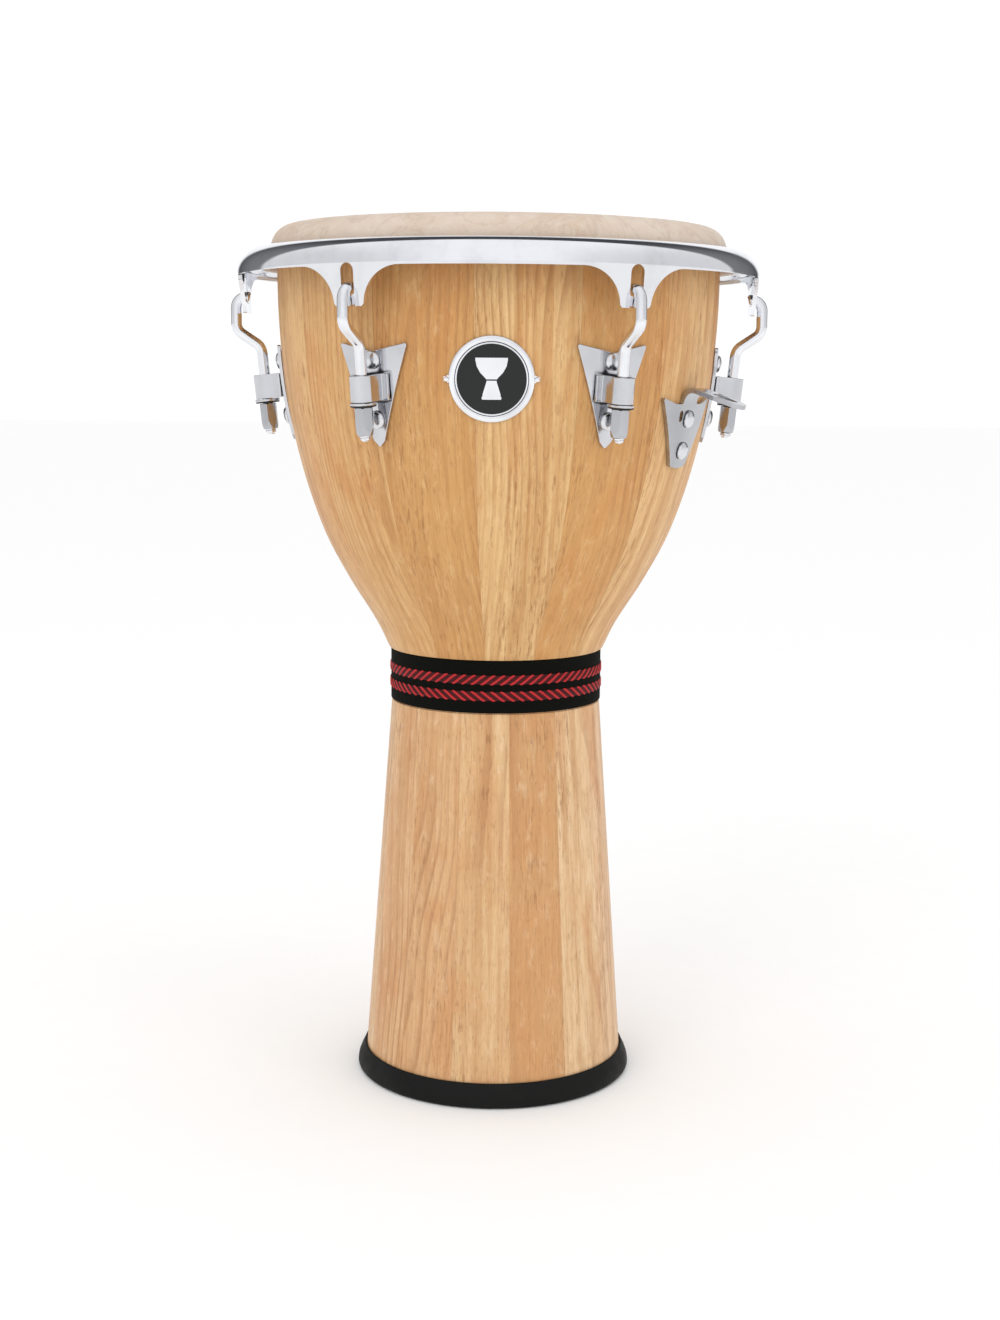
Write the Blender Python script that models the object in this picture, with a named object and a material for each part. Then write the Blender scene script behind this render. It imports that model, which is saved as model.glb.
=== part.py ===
"""A djembe: a goblet-shaped wooden drum with a rawhide head held by a steel rim and six tuning hooks.

The origin is the centre of the foot's underside, +Z runs up the drum's axis, and -Y is the front, where the
badge is. The hooks stand at every 60 degrees from +X, and the strap bracket is midway between two of them.
"""

import math

import bmesh
import bpy
from mathutils import Matrix, Vector

MM = 0.001

# Driving dimensions
DRUM_HEIGHT = 622 * MM
HEAD_DIAMETER = 317.5 * MM
WALL = 11 * MM
SEGMENTS = 48
HOLE_SEGMENTS = 8
GAP = 0.3 * MM
LUG_COUNT = 6

# Shell
SHELL_TOP_RADIUS = HEAD_DIAMETER / 2
STEM_FOOT_RADIUS = 97 * MM
STEM_TAPER = 0.0715
NECK_RADIUS = 76 * MM
BAND_BOTTOM = 282.5 * MM
BAND_TOP = 320 * MM
BAND_THICKNESS = 1.5 * MM
JOINT_HEIGHT = 301 * MM
SPIGOT_RADIUS = 70 * MM
SPIGOT_LENGTH = 15 * MM
THROAT_RADIUS = 64.5 * MM
THROAT_TOP = 326 * MM
FOOT_SEAT = 3.3 * MM
BASE_RING_TOP = 17.5 * MM
BASE_RING_LIP = 11 * MM
BASE_RING_SWELL = 5.8 * MM
EDGE_ROUND_CENTRE = (148.8 * MM, 606 * MM)
EDGE_ROUND = (9.95 * MM, 14.05 * MM)
SKIN_ROUND = (14.2 * MM, 16 * MM)
# Height and outer radius of the bowl, from the neck up to the head.
BOWL_OUTLINE = (
    (321 * MM, 79 * MM),
    (340 * MM, 88.2 * MM),
    (370 * MM, 107 * MM),
    (400 * MM, 123.2 * MM),
    (430 * MM, 134.8 * MM),
    (460 * MM, 143.6 * MM),
    (490 * MM, 150.2 * MM),
    (520 * MM, 154.6 * MM),
    (560 * MM, 157.8 * MM),
    (600 * MM, SHELL_TOP_RADIUS),
)

# Head and rim: the rim is a rounded channel pressed down over the flesh hoop
SKIN = 1.6 * MM
HOOP_CENTRE = (169 * MM, 597 * MM)
HOOP_WIRE_RADIUS = 3.2 * MM
RIM_INNER_RADIUS = 165 * MM
RIM_ARCH_CENTRE = (170.1 * MM, 589.3 * MM)
RIM_ARCH_RADIUS = 16.5 * MM
RIM_SHEET = 3 * MM
RIM_SKIRT_BOTTOM = 587.3 * MM
TAB_BOTTOM = 561.5 * MM
TAB_HALF_WIDTH = 11.6 * MM
TAB_FILLET_WIDTH = 27 * MM
TAB_LEAN = 2.8 * MM
SLOT_WIDTH = 10 * MM
SLOT_BOTTOM = 567.9 * MM
SLOT_TOP = 588.7 * MM

# Tuning hardware, all on the tilted line of the rod
ROD_RADIUS = 3.97 * MM
ROD_TILT = math.radians(6)
BARREL_CENTRE = (169 * MM, 509 * MM)
BARREL_OUTER = 8.2 * MM
SADDLE_SHEET = 2.2 * MM
SADDLE_HALF_HEIGHT = 8.7 * MM
SADDLE_FOOT = 13 * MM
SADDLE_DEPTH = 12.4 * MM
WASHER_RADIUS = 9 * MM
WASHER_THICKNESS = 2.8 * MM
NUT_ACROSS_FLATS = 11.3 * MM
NUT_HEIGHT = 18.6 * MM
NUT_BORE = 4.35 * MM
NUT_TAPER = 0.78
NUT_TAPER_HEIGHT = 7 * MM
ROD_BELOW_BARREL = 34.6 * MM
HOOK_LEG_RADIUS = 190 * MM
HOOK_BEND = 7.5 * MM
HOOK_BEND_HEIGHT = 565.4 * MM
HOOK_CROWN_TURN = 110
HOOK_SHOULDER_HEIGHT = 549.5 * MM
HOOK_KNEE_HEIGHT = 537.5 * MM
HOOK_FILLET = 9 * MM

# Side plates and their bolts
PLATE = 2.5 * MM
PLATE_TOP = 539 * MM
PLATE_BOTTOM = 470.2 * MM
PLATE_HALF_WIDTH = 26.5 * MM
PLATE_NOTCH = 5.8 * MM
PLATE_TOE_HALF_WIDTH = 4.3 * MM
PLATE_TOE_RISE = 4.5 * MM
PLATE_BOLT_HEIGHTS = (528 * MM, 489 * MM)
BOLT_SHANK_RADIUS = 2.9 * MM
BOLT_HEAD_RADIUS = 6.2 * MM
BOLT_HEAD_HEIGHT = 3.2 * MM
BOLT_HOLE_RADIUS = 3.4 * MM
INNER_STAND_OFF = 1.8 * MM
INNER_NUT_ACROSS_FLATS = 10 * MM
INNER_NUT_HEIGHT = 5 * MM
BOLT_TAIL = 2 * MM

# Strap bracket
BRACKET_ANGLE = math.radians(-30)
BRACKET_SHEET = 3 * MM
BRACKET_TOP = 508 * MM
BRACKET_BOTTOM = 457 * MM
BRACKET_HALF_WIDTH = 34 * MM
BRACKET_TOE_HALF_WIDTH = 11 * MM
BRACKET_BOLT_HEIGHTS = (490 * MM, 468.5 * MM)
BRACKET_HOLE = (2.1 * MM, 3.8 * MM, -10.5 * MM, 491.5 * MM)
FLANGE_DROP = math.radians(18.4)
FLANGE_REACH = 195 * MM
FLANGE_TIP_RADIUS = 9 * MM
FLANGE_HALF_ROOT = 10 * MM
FLANGE_HOLE = (5 * MM, 9 * MM)

# Badge
BADGE_ANGLE = math.radians(-90)
BADGE_HEIGHT = 515.7 * MM
BADGE_RADIUS = 28 * MM
BADGE_SHEET = 1.6 * MM
BADGE_PIN_OFFSET = 29.2 * MM
PIN_RADIUS = 0.9 * MM
PIN_LENGTH = 7 * MM


# ---------------------------------------------------------------- materials


def material(name, colour, roughness, metallic=0.0):
    """A Principled material with the part's own colour."""
    made = bpy.data.materials.get(name) or bpy.data.materials.new(name)
    made.use_nodes = True
    shader = made.node_tree.nodes["Principled BSDF"]
    shader.inputs["Base Color"].default_value = (*colour, 1)
    shader.inputs["Roughness"].default_value = roughness
    shader.inputs["Metallic"].default_value = metallic
    return made


def oak():
    return material("oak", (0.73, 0.46, 0.22), 0.35)


def chrome():
    return material("chrome", (0.83, 0.84, 0.86), 0.08, 1.0)


def rubber():
    return material("rubber", (0.02, 0.02, 0.02), 0.6)


def webbing():
    return material("webbing", (0.03, 0.02, 0.02), 0.9)


def rawhide():
    return material("rawhide", (0.78, 0.66, 0.5), 0.6)


def zinc():
    return material("zinc", (0.6, 0.6, 0.6), 0.35, 1.0)


def enamel():
    return material("enamel", (0.02, 0.02, 0.025), 0.2)


# ---------------------------------------------------------------- outlines


def arc(centre, radius, start, end, steps):
    """Points along a circle from start to end degrees."""
    angles = [math.radians(start + (end - start) * i / steps) for i in range(steps + 1)]
    return [(centre[0] + radius * math.cos(a), centre[1] + radius * math.sin(a)) for a in angles]


def edge_round(axes, start, end, steps):
    """Points on an ellipse over the bearing edge, from start to end degrees."""
    turns = [math.radians(start + (end - start) * i / steps) for i in range(steps + 1)]
    radius, height = EDGE_ROUND_CENTRE
    return [(radius + axes[0] * math.cos(a), height + axes[1] * math.sin(a)) for a in turns]


def bowl_radius(height):
    """The bowl's outer radius at a height, on a smooth curve through its outline."""
    points = BOWL_OUTLINE
    if height >= points[-1][0]:
        return points[-1][1]
    last = len(points) - 2
    i = min(last, max(0, sum(z <= height for z, _ in points) - 1))

    def slope(k):
        low, high = points[max(0, k - 1)], points[min(last + 1, k + 1)]
        return (high[1] - low[1]) / (high[0] - low[0])

    (z0, r0), (z1, r1) = points[i], points[i + 1]
    span = z1 - z0
    t = (height - z0) / span
    return (
        r0 * (2 * t**3 - 3 * t**2 + 1)
        + slope(i) * span * (t**3 - 2 * t**2 + t)
        + r1 * (3 * t**2 - 2 * t**3)
        + slope(i + 1) * span * (t**3 - t**2)
    )


def bowl_tilt(height):
    """How far the bowl's outward normal leans below the horizontal."""
    step = 1 * MM
    return math.atan2(bowl_radius(height + step) - bowl_radius(height - step), 2 * step)


def stem_radius(height):
    return STEM_FOOT_RADIUS - STEM_TAPER * height


def rod_point(along):
    """Radius and height of a point on the rod's line, measured up from the barrel's centre."""
    return (
        BARREL_CENTRE[0] + along * math.sin(ROD_TILT),
        BARREL_CENTRE[1] + along * math.cos(ROD_TILT),
    )


def rod_point_at(height):
    return rod_point((height - BARREL_CENTRE[1]) / math.cos(ROD_TILT))


def rounded_route(corners, fillet, steps):
    """A polyline with each inner corner replaced by an arc of the fillet radius."""
    route = [Vector(corners[0])]
    for before, corner, after in zip(corners, corners[1:], corners[2:]):
        corner = Vector(corner)
        back = (Vector(before) - corner).normalized()
        ahead = (Vector(after) - corner).normalized()
        half = back.angle(ahead) / 2
        centre = corner + (back + ahead).normalized() * (fillet / math.sin(half))
        start = corner + back * (fillet / math.tan(half)) - centre
        end = corner + ahead * (fillet / math.tan(half)) - centre
        turn = start.angle(end)
        for i in range(steps + 1):
            t = i / steps
            spoke = (start * math.sin((1 - t) * turn) + end * math.sin(t * turn)) / math.sin(turn)
            route.append(centre + spoke)
    route.append(Vector(corners[-1]))
    return route


# ---------------------------------------------------------------- mesh helpers


def to_object(name, mesh, paint, frame=None):
    """Links a mesh as a named object, placed on the drum by a frame."""
    made = bpy.data.objects.new(name, mesh)
    made.parent = bpy.data.objects["drum_axis"]
    made.matrix_local = frame or Matrix()
    bpy.context.scene.collection.objects.link(made)
    if not mesh.materials:
        mesh.materials.append(paint)
    mesh.shade_smooth()
    mesh.set_sharp_from_angle(angle=math.radians(35))
    return made


def finished(name, work):
    """Turns a bmesh into a mesh whose faces point out."""
    bmesh.ops.recalc_face_normals(work, faces=work.faces)
    mesh = bpy.data.meshes.new(name)
    work.to_mesh(mesh)
    work.free()
    return mesh


def bridge(work, lower, upper):
    """Quads between two rings of equal length."""
    for i in range(len(lower)):
        j = (i + 1) % len(lower)
        work.faces.new((lower[i], lower[j], upper[j], upper[i]))


def lathe_mesh(name, outline, segments=SEGMENTS, hexagons=()):
    """Spins an outline of (radius, height) points about Z; points on the axis become poles.

    The outline's points that are listed in hexagons become hexagons with that radius at their corners, which
    needs 12 segments.
    """
    work = bmesh.new()
    rings = []
    for i, (radius, height) in enumerate(outline):
        if radius == 0:
            rings.append([work.verts.new((0, 0, height))])
            continue
        ring = []
        for k in range(segments):
            a = math.tau * k / segments
            reach = radius * math.cos(math.pi / 6) if i in hexagons and k % 2 else radius
            ring.append(work.verts.new((reach * math.cos(a), reach * math.sin(a), height)))
        rings.append(ring)
    on_axis = len(rings[0]) == 1
    pairs = list(zip(rings, rings[1:])) if on_axis else list(zip(rings, rings[1:] + rings[:1]))
    for first, second in pairs:
        if len(first) == 1 or len(second) == 1:
            pole, ring = (first[0], second) if len(first) == 1 else (second[0], first)
            for k in range(segments):
                work.faces.new((pole, ring[k], ring[(k + 1) % segments]))
        else:
            bridge(work, first, second)
    return finished(name, work)


def prism_mesh(name, outline, low, high, frame=None):
    """Extrudes a closed outline of (x, y) points from low to high along Z, then places it by a frame."""
    work = bmesh.new()
    floor = [work.verts.new((x, y, low)) for x, y in outline]
    roof = [work.verts.new((x, y, high)) for x, y in outline]
    work.faces.new(floor[::-1])
    work.faces.new(roof)
    bridge(work, floor, roof)
    if frame:
        bmesh.ops.transform(work, matrix=frame, verts=work.verts)
    return finished(name, work)


def tube_mesh(name, route, radius, sides):
    """A round bar whose centre follows a route of (radius, height) points in the XZ plane."""
    work = bmesh.new()
    rings = []
    last = len(route) - 1
    for i, point in enumerate(route):
        ahead = (route[min(i + 1, last)] - route[max(i - 1, 0)]).normalized()
        across = Vector((ahead.y, -ahead.x))
        ring = []
        for k in range(sides):
            a = math.tau * k / sides
            flat = point + across * (radius * math.cos(a))
            ring.append(work.verts.new((flat.x, radius * math.sin(a), flat.y)))
        rings.append(ring)
    for lower, upper in zip(rings, rings[1:]):
        bridge(work, lower, upper)
    work.faces.new(rings[0][::-1])
    work.faces.new(rings[-1])
    return finished(name, work)


def slab_mesh(name, half_angle, low, high, stand_off, thickness, columns, rows):
    """A curved slab that follows the bowl's outside about the +X direction."""
    work = bmesh.new()

    def grid(offset):
        points = []
        for row in range(rows + 1):
            z = low + (high - low) * row / rows
            radius = bowl_radius(z) + offset
            turns = [half_angle * (2 * c / columns - 1) for c in range(columns + 1)]
            points.append(
                [work.verts.new((radius * math.cos(a), radius * math.sin(a), z)) for a in turns]
            )
        return points

    inner, outer = grid(stand_off), grid(stand_off + thickness)
    for sheet in (inner, outer):
        for lower, upper in zip(sheet, sheet[1:]):
            for c in range(columns):
                work.faces.new((lower[c], lower[c + 1], upper[c + 1], upper[c]))

    def edge(sheet):
        right = [row[-1] for row in sheet[1:]]
        left = [row[0] for row in sheet[-2:0:-1]]
        return sheet[0] + right + sheet[-1][-2::-1] + left

    bridge(work, edge(inner), edge(outer))
    return finished(name, work)


def cut(target, cutter_mesh, operation="DIFFERENCE"):
    """Applies a Boolean with a cutter mesh to an object's mesh."""
    cutter = bpy.data.objects.new("cutter", cutter_mesh)
    bpy.context.scene.collection.objects.link(cutter)
    modifier = target.modifiers.new("cut", "BOOLEAN")
    modifier.operation = operation
    modifier.solver = "EXACT"
    modifier.object = cutter
    bpy.context.view_layer.update()
    graph = bpy.context.evaluated_depsgraph_get()
    made = bpy.data.meshes.new_from_object(target.evaluated_get(graph))
    target.modifiers.remove(modifier)
    old = target.data
    target.data = made
    made.name = old.name
    bpy.data.meshes.remove(old)
    bpy.data.objects.remove(cutter)


def drill_mesh(radius, depth):
    """A cutter for a hole, from some depth below a surface to well above it."""
    return lathe_mesh("drill", [(0, -depth), (radius, -depth), (radius, WALL), (0, WALL)], HOLE_SEGMENTS)


def joined_mesh(name, placed):
    """One mesh from several (mesh, matrix) pairs, which stay separate solids."""
    work = bmesh.new()
    for mesh, matrix in placed:
        copy = mesh.copy()
        copy.transform(matrix)
        work.from_mesh(copy)
        bpy.data.meshes.remove(copy)
    return finished(name, work)


def surface_frame(angle, height, aside=0.0):
    """A frame on the bowl's outside: its Z is the outward normal and its Y runs up the bowl."""
    radius = bowl_radius(height)
    tilt = bowl_tilt(height)
    turn = angle + aside / radius
    place = Matrix.Translation((radius, 0, height))
    lean = Matrix.Rotation(math.pi / 2 + tilt, 4, "Y") @ Matrix.Rotation(math.pi / 2, 4, "Z")
    return Matrix.Rotation(turn, 4, "Z") @ place @ lean


def upright():
    """Turns (aside, height, out) into the world's axes at +X."""
    return Matrix(((0, 0, 1, 0), (1, 0, 0, 0), (0, 1, 0, 0), (0, 0, 0, 1)))


def rod_frame():
    """A frame whose Z is the rod's line at the first lug, with its origin at the barrel's centre."""
    place = Matrix.Translation((BARREL_CENTRE[0], 0, BARREL_CENTRE[1]))
    return place @ Matrix.Rotation(ROD_TILT, 4, "Y")


def rod_frames():
    return [lug @ rod_frame() for lug in lug_frames()]


def lug_frames():
    """One frame for each lug, turned about the drum's axis so that its X points out through the lug."""
    return [Matrix.Rotation(math.tau * k / LUG_COUNT, 4, "Z") for k in range(LUG_COUNT)]


def repeat(name, mesh, paint, frames):
    """One object for each frame, all of one mesh."""
    for number, frame in enumerate(frames, 1):
        to_object(f"{name}_{number}", mesh, paint, frame)


def bolt_frames():
    """One frame for each bolt that goes through the bowl, with the sheet thickness under its head."""
    frames = [
        (lug @ surface_frame(0, height), PLATE)
        for lug in lug_frames()
        for height in PLATE_BOLT_HEIGHTS
    ]
    frames += [(surface_frame(BRACKET_ANGLE, z), BRACKET_SHEET) for z in BRACKET_BOLT_HEIGHTS]
    return frames


def pin_frames():
    return [
        surface_frame(BADGE_ANGLE, BADGE_HEIGHT, aside)
        for aside in (-BADGE_PIN_OFFSET, BADGE_PIN_OFFSET)
    ]


# ---------------------------------------------------------------- shell


def bowl():
    """The goblet's bowl, with a rounded bearing edge, a socket for the stem and drilled bolt holes."""
    steps = 9
    low, high = BOWL_OUTLINE[0][0], BOWL_OUTLINE[-1][0]
    heights = [low + (high - low) * i / steps for i in range(steps + 1)]
    outside = [(bowl_radius(z), z) for z in heights]
    inside = [(bowl_radius(z) - WALL, z) for z in heights[-1:1:-2]]
    bearing = edge_round(EDGE_ROUND, 0, 90, 3)
    bearing.append((SHELL_TOP_RADIUS - WALL, bearing[-1][1] - 1.5 * MM))
    socket = SPIGOT_RADIUS + GAP
    seat = JOINT_HEIGHT + GAP
    neck = [
        (THROAT_RADIUS, THROAT_TOP),
        (THROAT_RADIUS, seat + SPIGOT_LENGTH),
        (socket, seat + SPIGOT_LENGTH),
        (socket, seat),
        (NECK_RADIUS, seat),
        (NECK_RADIUS, BAND_TOP + GAP),
    ]
    made = to_object("bowl", lathe_mesh("bowl", outside + bearing + inside + neck), oak())
    bolt_hole = drill_mesh(BOLT_HOLE_RADIUS, 2 * WALL)
    pin_hole = drill_mesh(PIN_RADIUS + 1.5 * GAP, PIN_LENGTH + GAP)
    placed = [(bolt_hole, frame) for frame, _ in bolt_frames()]
    placed += [(pin_hole, frame) for frame in pin_frames()]
    cut(made, joined_mesh("drill", placed))


def stem():
    """The flared pipe under the bowl, with a spigot that the bowl is glued over."""
    top = BAND_BOTTOM - 1 * MM
    outline = [
        (stem_radius(FOOT_SEAT), FOOT_SEAT),
        (stem_radius(top), top),
        (NECK_RADIUS, top + GAP),
        (NECK_RADIUS, JOINT_HEIGHT),
        (SPIGOT_RADIUS, JOINT_HEIGHT),
        (SPIGOT_RADIUS, JOINT_HEIGHT + SPIGOT_LENGTH),
        (THROAT_RADIUS, JOINT_HEIGHT + SPIGOT_LENGTH),
        (stem_radius(top) - WALL, top),
        (stem_radius(FOOT_SEAT) - WALL, FOOT_SEAT),
    ]
    to_object("stem", lathe_mesh("stem", outline), oak())


def base_ring():
    """The rubber channel that the stem stands in."""
    wood = stem_radius(FOOT_SEAT)
    inner = wood - WALL - GAP
    top = BASE_RING_TOP
    outline = [
        (inner - 3 * MM, 0),
        (wood + BASE_RING_SWELL - 1.3 * MM, 0),
        (wood + BASE_RING_SWELL, 4 * MM),
        (wood + BASE_RING_SWELL - 0.8 * MM, 9 * MM),
        (stem_radius(top) + 2 * MM, top - 0.8 * MM),
        (stem_radius(top) + 0.5 * MM, top),
        (wood + GAP, FOOT_SEAT - GAP),
        (inner, FOOT_SEAT - GAP),
        (inner - 0.5 * MM, BASE_RING_LIP),
        (inner - 3 * MM, BASE_RING_LIP),
    ]
    to_object("base_ring", lathe_mesh("base_ring", outline), rubber())


def neck_band():
    """The woven ribbon round the neck, over the joint between bowl and stem."""
    inner = NECK_RADIUS + GAP
    outer = inner + BAND_THICKNESS
    outline = [(inner, BAND_BOTTOM), (outer, BAND_BOTTOM), (outer, BAND_TOP), (inner, BAND_TOP)]
    to_object("neck_band", lathe_mesh("neck_band", outline), webbing())


# ---------------------------------------------------------------- head and rim


def head_skin():
    """The rawhide: flat over the bearing edge, down the collar and lapped round the flesh hoop."""
    lap = HOOP_WIRE_RADIUS + 2 * GAP
    outside = [(0, DRUM_HEIGHT)] + edge_round(SKIN_ROUND, 90, 0, 4)
    inner_round = [axis - SKIN for axis in SKIN_ROUND]
    inside = edge_round(inner_round, 0, 90, 4) + [(0, DRUM_HEIGHT - SKIN)]
    under = arc(HOOP_CENTRE, lap, 170, 480, 6)
    over = arc(HOOP_CENTRE, lap + SKIN, 480, 170, 6)
    to_object("head_skin", lathe_mesh("head_skin", outside + under + over + inside), rawhide())


def flesh_hoop():
    """The steel wire ring inside the lapped edge of the skin."""
    outline = arc(HOOP_CENTRE, HOOP_WIRE_RADIUS, 0, 300, 5)
    to_object("flesh_hoop", lathe_mesh("flesh_hoop", outline), zinc())


def tab_columns():
    """Angles round one lug, each with the height of the rim's lower edge there."""
    drop = RIM_SKIRT_BOTTOM - TAB_BOTTOM
    radius = RIM_ARCH_CENTRE[0] + RIM_ARCH_RADIUS
    half = []
    steps = 4
    for i in range(steps + 1):
        a = math.pi / 2 * i / steps
        aside = TAB_HALF_WIDTH + TAB_FILLET_WIDTH * (1 - math.cos(a))
        half.append((aside / radius, TAB_BOTTOM + drop * math.sin(a)))
    sector = math.pi / LUG_COUNT
    start = half[-1][0]
    half += [(start + (sector - start) * i / 2, RIM_SKIRT_BOTTOM) for i in (1, 2)]
    return [(-angle, z) for angle, z in half[-2::-1]] + half


def rim():
    """The chromed rim: a flat top rolled over into a skirt, with six slotted tabs that lean in a little."""
    top = RIM_ARCH_CENTRE[1] + RIM_ARCH_RADIUS
    outer_arch = [(RIM_INNER_RADIUS, top)] + arc(RIM_ARCH_CENTRE, RIM_ARCH_RADIUS, 90, 0, 5)
    inner_arch = arc(RIM_ARCH_CENTRE, RIM_ARCH_RADIUS - RIM_SHEET, 0, 90, 5)
    inner_arch.append((RIM_INNER_RADIUS, top - RIM_SHEET))

    def section(bottom):
        lean = TAB_LEAN * (RIM_SKIRT_BOTTOM - bottom) / (RIM_SKIRT_BOTTOM - TAB_BOTTOM)
        edge = outer_arch[-1][0] - lean
        tail = bottom - 0.2 * MM
        return outer_arch + [(edge, tail), (edge - RIM_SHEET, tail)] + inner_arch

    work = bmesh.new()
    rings = []
    for lug in range(LUG_COUNT):
        for turn, bottom in tab_columns():
            a = lug * math.tau / LUG_COUNT + turn
            ring = [
                work.verts.new((r * math.cos(a), r * math.sin(a), z)) for r, z in section(bottom)
            ]
            rings.append(ring)
    for first, second in zip(rings, rings[1:] + rings[:1]):
        bridge(work, first, second)
    made = to_object("rim", finished("rim", work), chrome())

    half = SLOT_WIDTH / 2
    slot = arc((0, SLOT_TOP - half), half, 0, 180, 6) + [(-half, SLOT_BOTTOM), (half, SLOT_BOTTOM)]
    tool = prism_mesh("slot", slot, 178 * MM, 195 * MM, upright())
    cut(made, joined_mesh("slots", [(tool, lug) for lug in lug_frames()]))


# ---------------------------------------------------------------- tuning hardware


def hook_route():
    """The hook's centreline in the radial plane, from its nose in the rim's slot down to the thread."""
    middle = (HOOK_LEG_RADIUS - HOOK_BEND, HOOK_BEND_HEIGHT)
    crown = arc(middle, HOOK_BEND, HOOK_CROWN_TURN, 0, 5)
    lower = [
        crown[-1],
        (HOOK_LEG_RADIUS, HOOK_SHOULDER_HEIGHT),
        rod_point_at(HOOK_KNEE_HEIGHT),
        rod_point(-ROD_BELOW_BARREL),
    ]
    return [Vector(p) for p in crown[:-1]] + rounded_route(lower, HOOK_FILLET, 3)


def tuning_hooks():
    """Six bent rods that hang in the rim's slots and run down through the saddles."""
    mesh = tube_mesh("tuning_hook", hook_route(), ROD_RADIUS, 8)
    mesh.transform(rod_frame().inverted())
    repeat("tuning_hook", mesh, chrome(), rod_frames())


def saddles():
    """Six strap saddles: a loop round the rod with two feet welded to the side plate."""
    sheet = SADDLE_SHEET
    inner = BARREL_OUTER - sheet
    right = [
        (inner, -SADDLE_DEPTH),
        (SADDLE_FOOT, -SADDLE_DEPTH),
        (SADDLE_FOOT, sheet - SADDLE_DEPTH),
        (BARREL_OUTER, sheet - SADDLE_DEPTH),
    ]
    left = [(-u, w) for u, w in right[::-1]]
    loop_out = arc((0, 0), BARREL_OUTER, 0, 180, 10)
    loop_in = arc((0, 0), inner, 180, 0, 8)
    outline = right + loop_out + left + loop_in
    outward = Matrix.Rotation(-math.pi / 2, 4, "Z")
    mesh = prism_mesh("saddle", outline, -SADDLE_HALF_HEIGHT, SADDLE_HALF_HEIGHT, outward)
    repeat("saddle", mesh, chrome(), rod_frames())


def washers():
    """The plain washers between saddle and tuning nut."""
    top = -SADDLE_HALF_HEIGHT - GAP
    bottom = top - WASHER_THICKNESS
    bore = NUT_BORE + 0.2 * MM
    mesh = lathe_mesh(
        "washer", [(bore, bottom), (WASHER_RADIUS, bottom), (WASHER_RADIUS, top), (bore, top)], 12
    )
    repeat("washer", mesh, chrome(), rod_frames())


def tuning_nuts():
    """Tall hexagon nuts, tapered at the lower end, on the rods' threads."""
    top = -SADDLE_HALF_HEIGHT - WASHER_THICKNESS - 2 * GAP
    low = top - NUT_HEIGHT
    corner = NUT_ACROSS_FLATS / 2 / math.cos(math.pi / 6)
    outline = [
        (NUT_BORE, low),
        (NUT_TAPER * corner, low),
        (corner, low + NUT_TAPER_HEIGHT),
        (corner, top),
        (NUT_BORE, top),
    ]
    mesh = lathe_mesh("tuning_nut", outline, 12, hexagons=(2, 3))
    repeat("tuning_nut", mesh, chrome(), rod_frames())


# ---------------------------------------------------------------- plates, bolts and badge


def cut_sheet(name, outline, thickness, paint, half_angle, grid):
    """A sheet that follows the bowl at +X, trimmed to an outline of (aside, height) points."""
    margin = 2 * MM
    low = min(z for _, z in outline) - margin
    high = max(z for _, z in outline) + margin
    made = to_object(name, slab_mesh(name, half_angle, low, high, GAP, thickness, *grid), paint)
    cut(made, prism_mesh("trim", outline, 120 * MM, 180 * MM, upright()), "INTERSECT")
    return made


def bolt_holes(heights):
    hole = drill_mesh(BOLT_HOLE_RADIUS, WALL)
    return joined_mesh("holes", [(hole, surface_frame(0, z)) for z in heights])


def side_plates():
    """Six heart-shaped plates bolted to the bowl, one behind each saddle."""
    right = [
        (10 * MM, PLATE_TOP - 0.45 * PLATE_NOTCH),
        (PLATE_HALF_WIDTH, PLATE_TOP),
        (PLATE_TOE_HALF_WIDTH, PLATE_BOTTOM + PLATE_TOE_RISE),
    ]
    left = [(-s, z) for s, z in right[::-1]]
    outline = [(0, PLATE_TOP - PLATE_NOTCH)] + right + [(0, PLATE_BOTTOM)] + left
    first = cut_sheet("side_plate", outline, PLATE, chrome(), math.radians(11), (6, 3))
    cut(first, bolt_holes(PLATE_BOLT_HEIGHTS))
    mesh = first.data
    bpy.data.objects.remove(first)
    repeat("side_plate", mesh, chrome(), lug_frames())


def bolt_mesh(sheet):
    """A dome-headed bolt with its nut run up inside the bowl, for a sheet of some thickness."""
    seat = sheet + 2 * GAP
    nut_top = -WALL - INNER_STAND_OFF
    nut_low = nut_top - INNER_NUT_HEIGHT
    corner = INNER_NUT_ACROSS_FLATS / 2 / math.cos(math.pi / 6)
    outline = [
        (0, nut_low - BOLT_TAIL),
        (BOLT_SHANK_RADIUS, nut_low - BOLT_TAIL),
        (BOLT_SHANK_RADIUS, nut_low),
        (corner, nut_low),
        (corner, nut_top),
        (BOLT_SHANK_RADIUS, nut_top),
        (BOLT_SHANK_RADIUS, seat),
        (BOLT_HEAD_RADIUS, seat),
        (0.9 * BOLT_HEAD_RADIUS, seat + 0.55 * BOLT_HEAD_HEIGHT),
        (0, seat + BOLT_HEAD_HEIGHT),
    ]
    return lathe_mesh("bolt", outline, 12, hexagons=(3, 4))


def bolts():
    """The bolts of the side plates and of the strap bracket."""
    meshes = {sheet: bolt_mesh(sheet) for sheet in (PLATE, BRACKET_SHEET)}
    for number, (frame, sheet) in enumerate(bolt_frames(), 1):
        to_object(f"bolt_{number}", meshes[sheet], zinc(), frame)


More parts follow.
